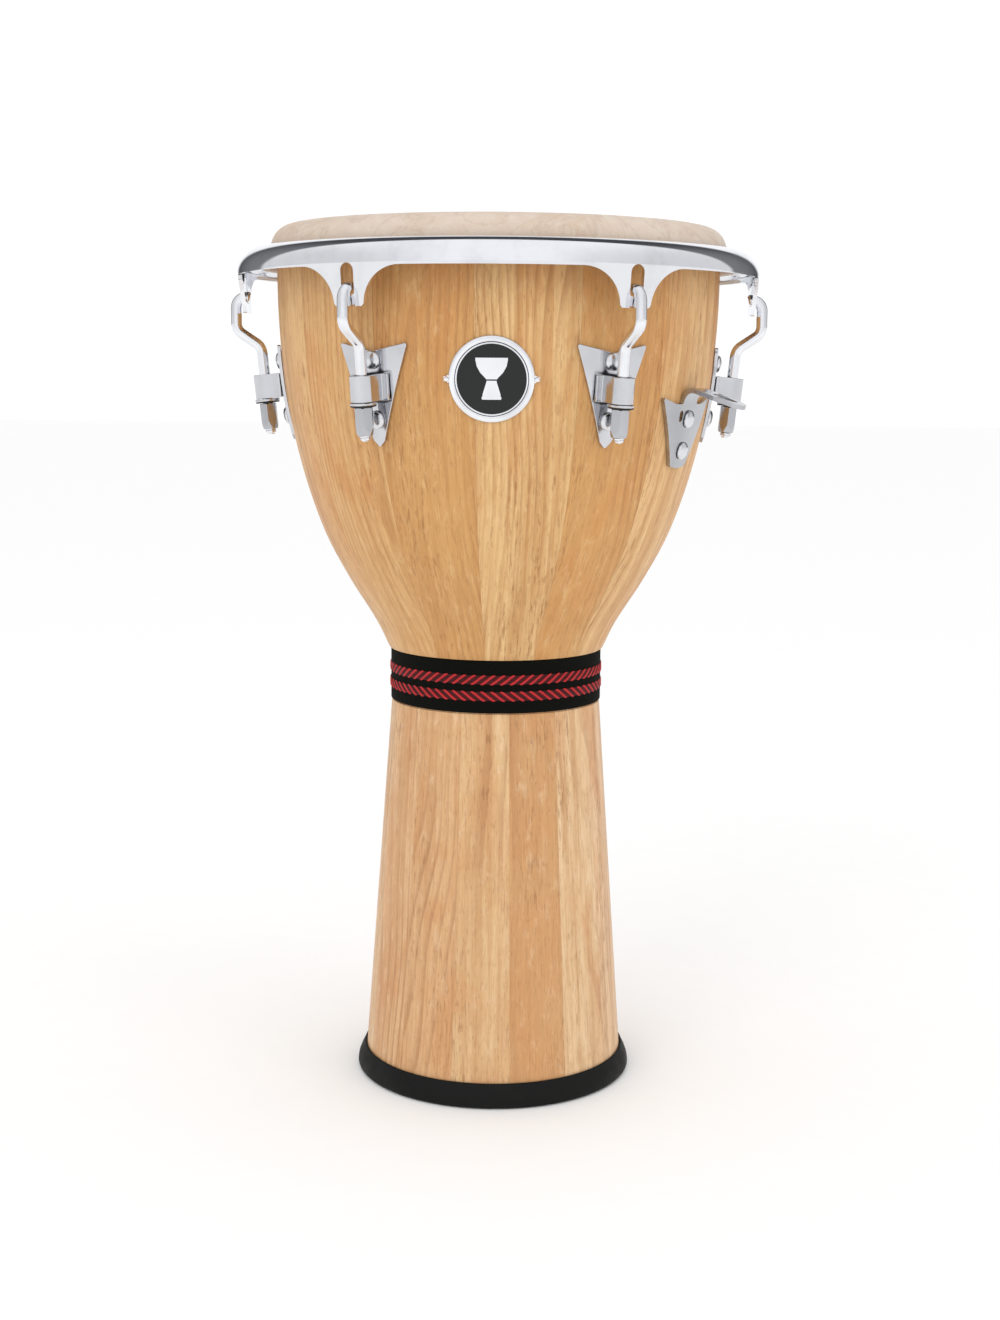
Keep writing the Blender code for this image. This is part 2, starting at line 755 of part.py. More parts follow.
def strap_bracket():
    """A bolted plate whose top is bent out into a holed flange for the strap's hook."""
    right = [
        (FLANGE_HALF_ROOT, BRACKET_TOP),
        (18 * MM, BRACKET_TOP - 7.5 * MM),
        (BRACKET_HALF_WIDTH, BRACKET_TOP - 4.5 * MM),
        (BRACKET_TOE_HALF_WIDTH, BRACKET_BOTTOM),
    ]
    left = [(-s, z) for s, z in right[::-1]]
    outline = right + [(0, BRACKET_BOTTOM - 1.5 * MM)] + left
    made = cut_sheet("strap_bracket", outline, BRACKET_SHEET, chrome(), math.radians(14.5), (7, 3))
    cut(made, bolt_holes(BRACKET_BOLT_HEIGHTS))
    half_width, half_height, aside, height = BRACKET_HOLE
    rise = half_height - half_width
    oval = arc((aside, height + rise), half_width, 0, 180, 6)
    oval += arc((aside, height - rise), half_width, 180, 360, 6)
    cut(made, prism_mesh("plate_hole", oval, 120 * MM, 180 * MM, upright()))

    root = bowl_radius(BRACKET_TOP) + 1 * MM
    reach = (FLANGE_REACH - root) / math.cos(FLANGE_DROP)
    tip = arc((reach - FLANGE_TIP_RADIUS, 0), FLANGE_TIP_RADIUS, -70, 70, 8)
    flange = [(0, -FLANGE_HALF_ROOT)] + tip + [(0, FLANGE_HALF_ROOT)]
    place = Matrix.Translation((root, 0, BRACKET_TOP - BRACKET_SHEET))
    frame = place @ Matrix.Rotation(FLANGE_DROP, 4, "Y")
    cut(made, prism_mesh("flange", flange, 0, BRACKET_SHEET, frame), "UNION")
    radius, half_length = FLANGE_HOLE
    middle = reach * 0.58
    slot = arc((middle + half_length - radius, 0), radius, -90, 90, 6)
    slot += arc((middle - half_length + radius, 0), radius, 90, 270, 6)
    cut(made, prism_mesh("flange_slot", slot, -WALL, WALL, frame))
    made.matrix_local = Matrix.Rotation(BRACKET_ANGLE, 4, "Z")


def badge():
    """A round badge, curved to the bowl, with two ears pinned to the wood."""
    ear = math.degrees(math.asin(2.4 * MM / BADGE_RADIUS))
    tip = BADGE_PIN_OFFSET + 2 * MM
    upper = arc((0, 0), BADGE_RADIUS, ear, 180 - ear, 16)
    lower = arc((0, 0), BADGE_RADIUS, 180 + ear, 360 - ear, 16)
    ears = [(-tip, 1.6 * MM), (-tip, -1.6 * MM)], [(tip, -1.6 * MM), (tip, 1.6 * MM)]
    flat = upper + ears[0] + lower + ears[1]
    outline = [(s, BADGE_HEIGHT + z) for s, z in flat]
    made = cut_sheet("badge", outline, BADGE_SHEET, enamel(), math.radians(12.5), (8, 4))
    hole = drill_mesh(PIN_RADIUS + GAP, WALL)
    frames = [surface_frame(0, BADGE_HEIGHT, s) for s in (-BADGE_PIN_OFFSET, BADGE_PIN_OFFSET)]
    cut(made, joined_mesh("pin_holes", [(hole, frame) for frame in frames]))
    made.matrix_local = Matrix.Rotation(BADGE_ANGLE, 4, "Z")

    seat = BADGE_SHEET + 2 * GAP
    pin = lathe_mesh(
        "badge_pin",
        [
            (0, -PIN_LENGTH),
            (PIN_RADIUS, -PIN_LENGTH),
            (PIN_RADIUS, seat),
            (1.7 * MM, seat),
            (1.3 * MM, seat + 0.8 * MM),
            (0, seat + 1.1 * MM),
        ],
        8,
    )
    repeat("badge_pin", pin, chrome(), pin_frames())


def main():
    for old in list(bpy.data.objects):
        bpy.data.objects.remove(old)
    axis = bpy.data.objects.new("drum_axis", None)
    bpy.context.scene.collection.objects.link(axis)
    for build in (
        bowl,
        stem,
        base_ring,
        neck_band,
        head_skin,
        flesh_hoop,
        rim,
        tuning_hooks,
        saddles,
        washers,
        tuning_nuts,
        side_plates,
        bolts,
        strap_bracket,
        badge,
    ):
        build()


main()
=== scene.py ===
import math

import bmesh
import bpy
from mathutils import Matrix, Vector, noise


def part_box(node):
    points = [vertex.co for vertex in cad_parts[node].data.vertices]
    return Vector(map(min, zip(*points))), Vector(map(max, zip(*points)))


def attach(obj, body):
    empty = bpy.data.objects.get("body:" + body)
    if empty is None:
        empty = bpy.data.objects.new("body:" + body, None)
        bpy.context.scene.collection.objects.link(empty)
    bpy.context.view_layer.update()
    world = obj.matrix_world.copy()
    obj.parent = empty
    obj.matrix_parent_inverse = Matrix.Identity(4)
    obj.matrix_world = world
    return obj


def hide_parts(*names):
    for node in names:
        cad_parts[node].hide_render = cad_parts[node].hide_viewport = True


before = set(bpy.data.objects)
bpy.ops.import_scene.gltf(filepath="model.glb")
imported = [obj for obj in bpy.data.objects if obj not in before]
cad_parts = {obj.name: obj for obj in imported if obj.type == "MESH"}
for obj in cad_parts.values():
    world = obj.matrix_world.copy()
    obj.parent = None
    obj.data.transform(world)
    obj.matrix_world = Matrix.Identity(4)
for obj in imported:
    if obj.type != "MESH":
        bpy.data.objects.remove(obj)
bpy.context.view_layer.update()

MM = 0.001
GAP = 0.3 * MM
LUGS = 6
FINE = 192  # steps round a turned piece

# The bowl's outside, as height and radius, from the neck up.
BOWL_OUTLINE = (
    (321 * MM, 79 * MM),
    (340 * MM, 88.2 * MM),
    (370 * MM, 107 * MM),
    (400 * MM, 123.2 * MM),
    (430 * MM, 134.8 * MM),
    (460 * MM, 143.6 * MM),
    (490 * MM, 150.2 * MM),
    (520 * MM, 154.6 * MM),
    (560 * MM, 157.8 * MM),
    (600 * MM, 158.75 * MM),
)
WALL = 11 * MM
HEAD_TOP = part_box("head_skin")[1].z
EDGE_ROUND_CENTRE = (148.8 * MM, 606 * MM)
EDGE_ROUND = (9.95 * MM, 14.05 * MM)
SKIN_ROUND = (14.2 * MM, 16 * MM)
SKIN = 1.6 * MM
HOOP_CENTRE = (169 * MM, 597 * MM)
HOOP_WIRE = 3.2 * MM
NECK_RADIUS = 76 * MM
STEM_FOOT = 3.3 * MM
THROAT_RADIUS = 64.5 * MM
SPIGOT_RADIUS = 70 * MM
SPIGOT_HEIGHT = 15 * MM
JOINT_HEIGHT = 301 * MM
BAND_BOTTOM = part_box("neck_band")[0].z
BAND_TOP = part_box("neck_band")[1].z
BAND_SHEET = 1.2 * MM
BARREL_CENTRE = (169 * MM, 509 * MM)  # of a saddle
ROD_TILT = math.radians(6)
ROD_RADIUS = 3.97 * MM
PLATE = 2.5 * MM
PLATE_BOLTS = (528 * MM, 489 * MM)
BRACKET = 3 * MM
BRACKET_BOLTS = (490 * MM, 468.5 * MM)
BRACKET_ANGLE = math.radians(-30)
BADGE_ANGLE = math.radians(-90)
BADGE_HEIGHT = 515.7 * MM
SIXTH = math.pi / 3  # of a turn


# ---------------------------------------------------------------- placing pieces


def add(name, mesh, paint, body="drum", node=None, frame_matrix=None, sharp=35):
    """Links a mesh as a piece that rides on a body, and lets it stand for a CAD node."""
    piece = bpy.data.objects.new(name, mesh)
    bpy.context.scene.collection.objects.link(piece)
    if not mesh.materials:
        mesh.materials.append(paint)
        mesh.shade_smooth()
        mesh.set_sharp_from_angle(angle=math.radians(sharp))
    piece.matrix_world = frame_matrix or Matrix()
    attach(piece, body)
    if node:
        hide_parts(node)
    return piece


def finished(name, work):
    """Turns a bmesh into a mesh whose faces point out."""
    bmesh.ops.recalc_face_normals(work, faces=work.faces)
    mesh = bpy.data.meshes.new(name)
    work.to_mesh(mesh)
    work.free()
    return mesh


def modify(piece, kind, **settings):
    made = piece.modifiers.new(kind.lower(), kind)
    for key, value in settings.items():
        setattr(made, key, value)
    return made


def round_edges(piece, width, segments=3, angle=40):
    modify(piece, "BEVEL", width=width, segments=segments, limit_method="ANGLE",
           angle_limit=math.radians(angle), harden_normals=True)


# ---------------------------------------------------------------- outlines


def ellipse(centre, axes, start, end, steps):
    """Points along an ellipse from start to end degrees."""
    angles = [math.radians(start + (end - start) * i / steps) for i in range(steps + 1)]
    return [(centre[0] + axes[0] * math.cos(a), centre[1] + axes[1] * math.sin(a)) for a in angles]


def arc(centre, radius, start, end, steps):
    """Points along a circle from start to end degrees."""
    return ellipse(centre, (radius, radius), start, end, steps)


def edge_round(axes, start, end, steps):
    """Points on an ellipse over the bearing edge, from start to end degrees."""
    return ellipse(EDGE_ROUND_CENTRE, axes, start, end, steps)


def hexagon(flat, turn):
    """A hexagon's radius at some turn, for half its width across flats."""
    return flat / math.cos((turn + SIXTH / 2) % SIXTH - SIXTH / 2)


def bowl_radius(height):
    """The bowl's outer radius at a height, on a smooth curve through its outline."""
    points = BOWL_OUTLINE
    if height >= points[-1][0]:
        return points[-1][1]
    last = len(points) - 2
    i = min(last, max(0, sum(z <= height for z, _ in points) - 1))

    def slope(k):
        low, high = points[max(0, k - 1)], points[min(last + 1, k + 1)]
        return (high[1] - low[1]) / (high[0] - low[0])

    (z0, r0), (z1, r1) = points[i], points[i + 1]
    span = z1 - z0
    t = (height - z0) / span
    return (
        r0 * (2 * t**3 - 3 * t**2 + 1)
        + slope(i) * span * (t**3 - 2 * t**2 + t)
        + r1 * (3 * t**2 - 2 * t**3)
        + slope(i + 1) * span * (t**3 - t**2)
    )


def bowl_tilt(height):
    step = 1 * MM
    return math.atan2(bowl_radius(height + step) - bowl_radius(height - step), 2 * step)


def stem_radius(height):
    return 97 * MM - 0.0715 * height


def rod_point(along):
    """Radius and height of a point on the rod's line, measured up from the barrel's centre."""
    return (
        BARREL_CENTRE[0] + along * math.sin(ROD_TILT),
        BARREL_CENTRE[1] + along * math.cos(ROD_TILT),
    )


def rounded_route(corners, fillet, steps):
    """A polyline with each inner corner replaced by an arc of the fillet radius."""
    route = [Vector(corners[0])]
    for before, corner, after in zip(corners, corners[1:], corners[2:]):
        corner = Vector(corner)
        back = (Vector(before) - corner).normalized()
        ahead = (Vector(after) - corner).normalized()
        half = back.angle(ahead) / 2
        centre = corner + (back + ahead).normalized() * (fillet / math.sin(half))
        start = corner + back * (fillet / math.tan(half)) - centre
        end = corner + ahead * (fillet / math.tan(half)) - centre
        turn = start.angle(end)
        for i in range(steps + 1):
            t = i / steps
            spoke = (start * math.sin((1 - t) * turn) + end * math.sin(t * turn)) / math.sin(turn)
            route.append(centre + spoke)
    route.append(Vector(corners[-1]))
    return route


# ---------------------------------------------------------------- mesh helpers


def lathe_mesh(name, outline, segments=FINE, reach=None):
    """Spins an outline of (radius, height) points about Z; reach(radius, angle, height) may shape it."""
    work = bmesh.new()
    rings = []
    for radius, height in outline:
        if radius == 0:
            rings.append([work.verts.new((0, 0, height))])
            continue
        ring = []
        for k in range(segments):
            a = math.tau * k / segments
            r = reach(radius, a, height) if reach else radius
            ring.append(work.verts.new((r * math.cos(a), r * math.sin(a), height)))
        rings.append(ring)
    closed = len(rings[0]) > 1
    for first, second in zip(rings, rings[1:] + (rings[:1] if closed else [])):
        if len(first) == 1 or len(second) == 1:
            pole, ring = (first[0], second) if len(first) == 1 else (second[0], first)
            for k in range(segments):
                work.faces.new((pole, ring[k], ring[(k + 1) % segments]))
        else:
            for k in range(segments):
                j = (k + 1) % segments
                work.faces.new((first[k], first[j], second[j], second[k]))
    return finished(name, work)


def prism_mesh(name, outline, low, high):
    """Extrudes a closed outline of (x, y) points from low to high along Z."""
    work = bmesh.new()
    floor = [work.verts.new((x, y, low)) for x, y in outline]
    roof = [work.verts.new((x, y, high)) for x, y in outline]
    work.faces.new(floor[::-1])
    work.faces.new(roof)
    for i in range(len(floor)):
        j = (i + 1) % len(floor)
        work.faces.new((floor[i], floor[j], roof[j], roof[i]))
    return finished(name, work)


def tube_mesh(name, rings_of, sides):
    """A round bar through (centre, across, up, radius function) rings."""
    work = bmesh.new()
    rings = []
    for centre, across, up, radius in rings_of:
        ring = []
        for k in range(sides):
            a = math.tau * k / sides
            r = radius(a)
            ring.append(work.verts.new(centre + across * (r * math.cos(a)) + up * (r * math.sin(a))))
        rings.append(ring)
    for first, second in zip(rings, rings[1:]):
        for k in range(sides):
            j = (k + 1) % sides
            work.faces.new((first[k], first[j], second[j], second[k]))
    work.faces.new(rings[0][::-1])
    work.faces.new(rings[-1])
    return finished(name, work)


def sliced_mesh(name, faces, step, bend):
    """Flat faces of (s, t) points, cut into a grid of some step and bent by bend(s, t) into place."""
    work = bmesh.new()
    found = {}
    for outline in faces:
        corners = []
        for s, t in outline:
            key = (round(s, 7), round(t, 7))
            if key not in found:
                found[key] = work.verts.new((s, t, 0))
            corners.append(found[key])
        work.faces.new(corners)
    for axis in (0, 1):
        low = min(v.co[axis] for v in work.verts)
        high = max(v.co[axis] for v in work.verts)
        count = max(1, round((high - low) / step[axis]))
        normal = Vector((1, 0, 0)) if axis == 0 else Vector((0, 1, 0))
        for i in range(1, count):
            at = normal * (low + (high - low) * i / count)
            everything = work.verts[:] + work.edges[:] + work.faces[:]
            bmesh.ops.bisect_plane(work, geom=everything, plane_co=at, plane_no=normal, dist=1e-7)
    for v in work.verts:
        v.co = bend(v.co.x, v.co.y)
    bmesh.ops.remove_doubles(work, verts=work.verts, dist=1e-5)
    return finished(name, work)


def on_bowl(offset):
    """Bends (aside, height) about +X onto the bowl's outside, at an offset from it."""

    def bend(s, t):
        radius = bowl_radius(t)
        return Vector(((radius + offset) * math.cos(s / radius), (radius + offset) * math.sin(s / radius), t))

    return bend


def surface_frame(angle, height, aside=0.0):
    """A frame on the bowl's outside: its Z is the outward normal and its Y runs up the bowl."""
    radius = bowl_radius(height)
    place = Matrix.Translation((radius, 0, height))
    lean = Matrix.Rotation(math.pi / 2 + bowl_tilt(height), 4, "Y") @ Matrix.Rotation(math.pi / 2, 4, "Z")
    return Matrix.Rotation(angle + aside / radius, 4, "Z") @ place @ lean


def rod_frame():
    place = Matrix.Translation((BARREL_CENTRE[0], 0, BARREL_CENTRE[1]))
    return place @ Matrix.Rotation(ROD_TILT, 4, "Y")


def lug_frames():
    return [Matrix.Rotation(math.tau * k / LUGS, 4, "Z") for k in range(LUGS)]


# ---------------------------------------------------------------- material helpers


class Paint:
    """A small wrapper that adds procedural nodes to a material or a world."""

    def __init__(self, owner):
        owner.use_nodes = True
        self.owner = owner
        self.nodes = owner.node_tree.nodes
        self.links = owner.node_tree.links
        self.shader = self.nodes.get("Principled BSDF")

    def put(self, socket, value):
        if isinstance(value, bpy.types.NodeSocket):
            self.links.new(value, socket)
        elif isinstance(value, tuple) and len(value) == 3 and socket.type == "RGBA":
            socket.default_value = (*value, 1)
        else:
            socket.default_value = value

    def set(self, **values):
        for key, value in values.items():
            self.put(self.shader.inputs[key.replace("_", " ")], value)
        return self.owner

    def place(self):
        return self.nodes.new("ShaderNodeTexCoord").outputs["Object"]

    def split(self, vector):
        node = self.nodes.new("ShaderNodeSeparateXYZ")
        self.put(node.inputs[0], vector)
        return node.outputs[0], node.outputs[1], node.outputs[2]

    def join(self, x, y, z):
        node = self.nodes.new("ShaderNodeCombineXYZ")
        for socket, value in zip(node.inputs, (x, y, z)):
            self.put(socket, value)
        return node.outputs[0]

    def math(self, operation, a, b=0.0, c=0.0):
        node = self.nodes.new("ShaderNodeMath")
        node.operation = operation
        for socket, value in zip(node.inputs, (a, b, c)):
            self.put(socket, value)
        return node.outputs[0]

    def plus(self, a, b):
        return self.math("ADD", a, b)

    def minus(self, a, b):
        return self.math("SUBTRACT", a, b)

    def times(self, a, b):
        return self.math("MULTIPLY", a, b)

    def length(self, a, b):
        return self.math("SQRT", self.plus(self.times(a, a), self.times(b, b)))

    def stretch(self, vector, x, y, z):
        node = self.nodes.new("ShaderNodeVectorMath")
        node.operation = "MULTIPLY"
        self.put(node.inputs[0], vector)
        node.inputs[1].default_value = (x, y, z)
        return node.outputs[0]

    def noise(self, vector, scale, detail=3.0, rough=0.5, twist=0.0):
        node = self.nodes.new("ShaderNodeTexNoise")
        self.put(node.inputs["Vector"], vector)
        node.inputs["Scale"].default_value = scale
        node.inputs["Detail"].default_value = detail
        node.inputs["Roughness"].default_value = rough
        node.inputs["Distortion"].default_value = twist
        return node.outputs[0]

    def random(self, value):
        node = self.nodes.new("ShaderNodeTexWhiteNoise")
        node.noise_dimensions = "1D"
        self.put(node.inputs["W"], value)
        return node.outputs[0]

    def cells(self, vector, scale):
        node = self.nodes.new("ShaderNodeTexVoronoi")
        self.put(node.inputs["Vector"], vector)
        node.inputs["Scale"].default_value = scale
        return node.outputs[0]

    def fit(self, value, low, high, to_low=0.0, to_high=1.0):
        node = self.nodes.new("ShaderNodeMapRange")
        node.interpolation_type = "SMOOTHSTEP"
        for key, entry in (("Value", value), ("From Min", low), ("From Max", high),
                           ("To Min", to_low), ("To Max", to_high)):
            self.put(node.inputs[key], entry)
        return node.outputs[0]

    def mix(self, factor, a, b, blend="MIX"):
        node = self.nodes.new("ShaderNodeMix")
        node.data_type = "RGBA"
        node.blend_type = blend
        self.put(node.inputs["Factor"], factor)
        self.put(node.inputs["A"], a)
        self.put(node.inputs["B"], b)
        return node.outputs["Result"]

    def bump(self, height, distance, strength=1.0, normal=None):
        node = self.nodes.new("ShaderNodeBump")
        self.put(node.inputs["Height"], height)
        node.inputs["Distance"].default_value = distance
        node.inputs["Strength"].default_value = strength
        if normal is not None:
            self.put(node.inputs["Normal"], normal)
        return node.outputs[0]


# ---------------------------------------------------------------- materials


def wood(name, turn, seed, light, dark, least, tint, staves=14):
    """Lacquered pale hardwood staves: own tint, growth rings, fibres and pore flecks on each stave.

    turn sets where the seams fall, light and dark are the numbers of a paler and a warmer stave, and
    least is the least warmth of the others.
    """

    def tone(red, green, blue):
        return (red * tint[0], green * tint[1], blue * tint[2])

    p = Paint(bpy.data.materials.new(name))
    x, y, z = p.split(p.place())
    turns = p.math("DIVIDE", p.math("ARCTAN2", y, x), math.tau)
    across = p.math("MULTIPLY_ADD", turns, staves, turn + staves)
    number = p.math("FLOOR", across)
    stave = p.plus(number, seed)
    part = p.minus(p.math("FRACT", across), 0.5)
    radius = p.length(x, y)
    width = p.math("DIVIDE", p.times(radius, math.tau), staves)
    side = p.times(part, width)
    dice = [p.random(p.math("MULTIPLY_ADD", stave, 1.0, 17.3 * k)) for k in range(6)]

    # Growth rings: distance from a pith that lies behind the board and leans across it.
    board = p.join(p.plus(side, p.times(stave, 3.7)), z, p.times(stave, 1.9))

    def grain(wide, long, detail, *more):
        return p.noise(p.stretch(board, wide, long, 1), 1.0, detail, *more)

    sway = grain(9, 3.2, 2.0, 0.5)
    pith_side = p.fit(dice[0], 0, 1, -0.035, 0.035)
    deep = p.fit(dice[1], 0, 1, 0.004, 0.075)
    lean = p.fit(dice[2], 0, 1, -0.09, 0.09)
    rise = p.times(p.minus(z, p.fit(dice[3], 0, 1, 0.1, 0.55)), lean)
    wander = p.times(p.minus(sway, 0.5), 0.045)
    dx = p.plus(p.minus(side, pith_side), wander)
    dy = p.plus(deep, rise)
    rings = p.length(dx, dy)
    phase = p.math("FRACT", p.times(rings, 190))
    late = p.times(p.fit(phase, 0.45, 0.92), p.fit(phase, 1.0, 0.93))
    ring_mask = p.fit(grain(14, 4, 2.0), 0.35, 0.7)
    ring = p.times(late, ring_mask)

    fibre = grain(760, 26, 4.0, 0.7)
    streak = grain(150, 3.0, 3.0, 0.6)
    fleck_field = grain(1000, 130, 2.0, 0.5)
    fleck = p.fit(fleck_field, 0.58, 0.70)
    dash_field = grain(560, 78, 3.0, 0.6)
    dash_zone = grain(42, 5, 2.0, 0.5)
    dash = p.times(p.fit(dash_field, 0.52, 0.68), p.fit(dash_zone, 0.44, 0.64))
    blotch = grain(20, 8, 3.0, 0.6, 0.8)
    mottle = grain(150, 55, 4.0, 0.7, 0.5)

    pale = p.mix(dice[4], tone(0.70, 0.415, 0.165), tone(0.84, 0.570, 0.290))
    warm = p.mix(dice[4], tone(0.56, 0.260, 0.080), tone(0.67, 0.355, 0.130))
    warmer = p.times(p.math("COMPARE", number, dark, 0.5), 0.72)
    cooler = p.times(p.math("COMPARE", number, light, 0.5), 0.85)
    warmth = p.math("MAXIMUM", p.fit(dice[5], 0.40, 1.0, least, 0.90), warmer)
    warmth = p.times(warmth, p.minus(1.0, cooler))
    colour = p.mix(warmth, pale, warm)
    colour = p.mix(p.fit(streak, 0.42, 0.68, 0.0, 0.62), colour, tone(0.52, 0.245, 0.080))
    colour = p.mix(p.fit(blotch, 0.44, 0.70, 0.0, 0.62), colour, tone(0.60, 0.260, 0.082))
    stain = p.times(p.fit(blotch, 0.60, 0.76), p.fit(streak, 0.48, 0.66))
    colour = p.mix(p.times(stain, 0.55), colour, tone(0.42, 0.150, 0.048))
    colour = p.mix(p.fit(mottle, 0.50, 0.72, 0.0, 0.36), colour, tone(0.52, 0.250, 0.085))
    colour = p.mix(p.fit(mottle, 0.48, 0.28, 0.0, 0.24), colour, tone(0.88, 0.640, 0.340))
    colour = p.mix(p.times(ring, 0.55), colour, tone(0.36, 0.145, 0.045))
    colour = p.mix(p.fit(fibre, 0.40, 0.70, 0.0, 0.30), colour, tone(0.38, 0.170, 0.058))
    colour = p.mix(p.times(dash, 0.55), colour, tone(0.28, 0.110, 0.036))
    colour = p.mix(p.times(fleck, 0.32), colour, tone(0.30, 0.125, 0.042))
    seam = p.fit(p.math("ABSOLUTE", part), 0.4925, 0.5)
    colour = p.mix(p.times(seam, 0.28), colour, (0.25, 0.105, 0.04))

    rough = p.fit(fibre, 0.2, 0.8, 0.36, 0.52)
    relief = p.minus(p.times(fibre, 0.4), p.plus(fleck, seam))
    return p.set(Base_Color=colour, Roughness=rough, Normal=p.bump(relief, 0.00006, 0.6),
                 Specular_IOR_Level=0.16, Coat_Weight=0.06, Coat_Roughness=0.2)


def chrome(name, tone=(0.83, 0.84, 0.872), gloss=0.05):
    """Polished plating with faint haze, small scratches and a barely uneven surface."""
    p = Paint(bpy.data.materials.new(name))
    at = p.place()
    haze = p.noise(at, 38, 4.0, 0.6)
    scratch = p.noise(p.stretch(at, 60, 900, 60), 1.0, 2.0)
    rough = p.plus(p.fit(haze, 0.3, 0.75, gloss, gloss + 0.07), p.fit(scratch, 0.66, 0.8, 0.0, 0.12))
    dull = tuple(0.86 * c for c in tone)
    return p.set(Base_Color=p.mix(p.fit(haze, 0.4, 0.8), tone, dull), Metallic=1.0, Roughness=rough,
                 Normal=p.bump(p.noise(at, 260, 2.0), 0.00002, 0.35))


def zinc(name):
    """Plated steel hardware: greyer than the chrome, with turning marks."""
    p = Paint(bpy.data.materials.new(name))
    at = p.place()
    grain = p.noise(at, 900, 3.0, 0.6)
    return p.set(Base_Color=p.mix(grain, (0.62, 0.63, 0.66), (0.80, 0.81, 0.83)), Metallic=1.0,
                 Roughness=p.fit(grain, 0.2, 0.8, 0.14, 0.30), Normal=p.bump(grain, 0.00003, 0.4))


def rubber(name):
    """Black moulded rubber with a fine pebbled skin and patches of dust."""
    p = Paint(bpy.data.materials.new(name))
    at = p.place()
    pebble = p.cells(at, 900)
    dust = p.noise(at, 24, 5.0, 0.7)
    colour = p.mix(p.fit(dust, 0.5, 0.8, 0.0, 0.6), (0.006, 0.0065, 0.006), (0.018, 0.018, 0.016))
    return p.set(Base_Color=colour, Roughness=p.fit(dust, 0.3, 0.7, 0.42, 0.66), Specular_IOR_Level=0.14,
                 Normal=p.bump(pebble, 0.00008, 0.5))


def rawhide(name):
    """Shaved goat skin: creamy and mottled, with veins, hair-follicle specks and light inside it."""
    p = Paint(bpy.data.materials.new(name))
    at = p.place()
    cloud = p.noise(at, 7, 6.0, 0.62, 0.6)
    veins = p.noise(at, 16, 5.0, 0.6, 2.2)
    vein = p.fit(p.math("ABSOLUTE", p.minus(veins, 0.5)), 0.03, 0.0)
    pores = p.cells(at, 650)
    fine = p.noise(at, 120, 5.0, 0.7)
    colour = p.mix(p.fit(cloud, 0.32, 0.72), (0.66, 0.555, 0.470), (0.60, 0.455, 0.345))
    colour = p.mix(p.fit(fine, 0.4, 0.75, 0.0, 0.45), colour, (0.72, 0.64, 0.56))
    colour = p.mix(p.times(vein, 0.30), colour, (0.46, 0.33, 0.24))
    colour = p.mix(p.fit(pores, 0.22, 0.05, 0.0, 0.16), colour, (0.42, 0.32, 0.24))
    return p.set(Base_Color=colour, Roughness=p.fit(fine, 0.3, 0.7, 0.45, 0.62),
                 Subsurface_Weight=0.12, Subsurface_Radius=(0.006, 0.003, 0.0015), Subsurface_Scale=1.0,
                 Normal=p.bump(p.plus(fine, p.times(pores, 0.5)), 0.00012, 0.55))


def around_and_up(p, radius):
    """Distance round the drum and height, as a flat place for a weave."""
    x, y, z = p.split(p.place())
    return p.times(p.math("ARCTAN2", y, x), radius), z


def weave(p, round_at, z, warp, weft):
    """Height of a plain ribbon weave of warp and weft yarns, from 0 to 1."""
    a = p.times(round_at, math.pi / weft)
    b = p.times(z, math.pi / warp)
    over = p.times(p.math("SINE", a), p.math("SINE", b))
    ribs = p.math("ABSOLUTE", p.math("SINE", p.times(b, 2.0)))
    return p.math("MULTIPLY_ADD", over, 0.35, p.times(ribs, 0.5))


def ribbon(name):
    """Black woven ribbon, with painted shade in the hollows of its weave."""
    p = Paint(bpy.data.materials.new(name))
    round_at, z = around_and_up(p, NECK_RADIUS)
    relief = weave(p, round_at, z, 0.0009, 0.0011)
    fuzz = p.noise(p.join(round_at, z, 0.0), 2200, 2.0)
    # Colour follows the weave's height: painted shade in its hollows, lighter on the raised yarns.
    colour = p.mix(p.fit(relief, -0.1, 0.8), (0.0015, 0.0016, 0.0012), (0.006, 0.0065, 0.0045))
    colour = p.mix(p.fit(fuzz, 0.55, 0.8, 0.0, 0.5), colour, (0.013, 0.013, 0.010))
    return p.set(Base_Color=colour, Roughness=0.85, Specular_IOR_Level=0.08,
                 Normal=p.bump(p.plus(relief, p.times(fuzz, 0.25)), 0.00025, 0.8))


def red_yarn(name, bright, dark):
    """Red yarn, with the fine twist of its filaments."""
    p = Paint(bpy.data.materials.new(name))
    round_at, z = around_and_up(p, NECK_RADIUS)
    at = p.join(round_at, z, 0.0)
    twist = p.noise(p.stretch(at, 1600, 2600, 1), 1.0, 2.0, 0.6)
    shade = p.noise(at, 90, 2.0)
    colour = p.mix(p.fit(twist, 0.3, 0.7), dark, bright)
    colour = p.mix(p.fit(shade, 0.4, 0.7, 0.0, 0.3), colour, dark)
    return p.set(Base_Color=colour, Roughness=0.6, Specular_IOR_Level=0.25,
                 Normal=p.bump(twist, 0.00016, 0.7))


def enamel(name):
    """Black stove enamel with a soft gloss and a little orange peel."""
    p = Paint(bpy.data.materials.new(name))
    at = p.place()
    peel = p.noise(at, 500, 2.0)
    speck = p.fit(p.noise(at, 1500, 1.0), 0.72, 0.8)
    return p.set(Base_Color=p.mix(speck, (0.008, 0.009, 0.009), (0.03, 0.03, 0.03)),
                 Roughness=p.fit(peel, 0.3, 0.7, 0.28, 0.4),
                 Specular_IOR_Level=0.35, Normal=p.bump(peel, 0.00004, 0.4))


def floor_paper(name):
    """Pale studio paper with a faint fibre."""
    p = Paint(bpy.data.materials.new(name))
    fibre = p.noise(p.place(), 40, 4.0)
    return p.set(Base_Color=p.mix(fibre, (0.93, 0.93, 0.93), (0.95, 0.95, 0.95)), Roughness=0.9,
                 Specular_IOR_Level=0.1)


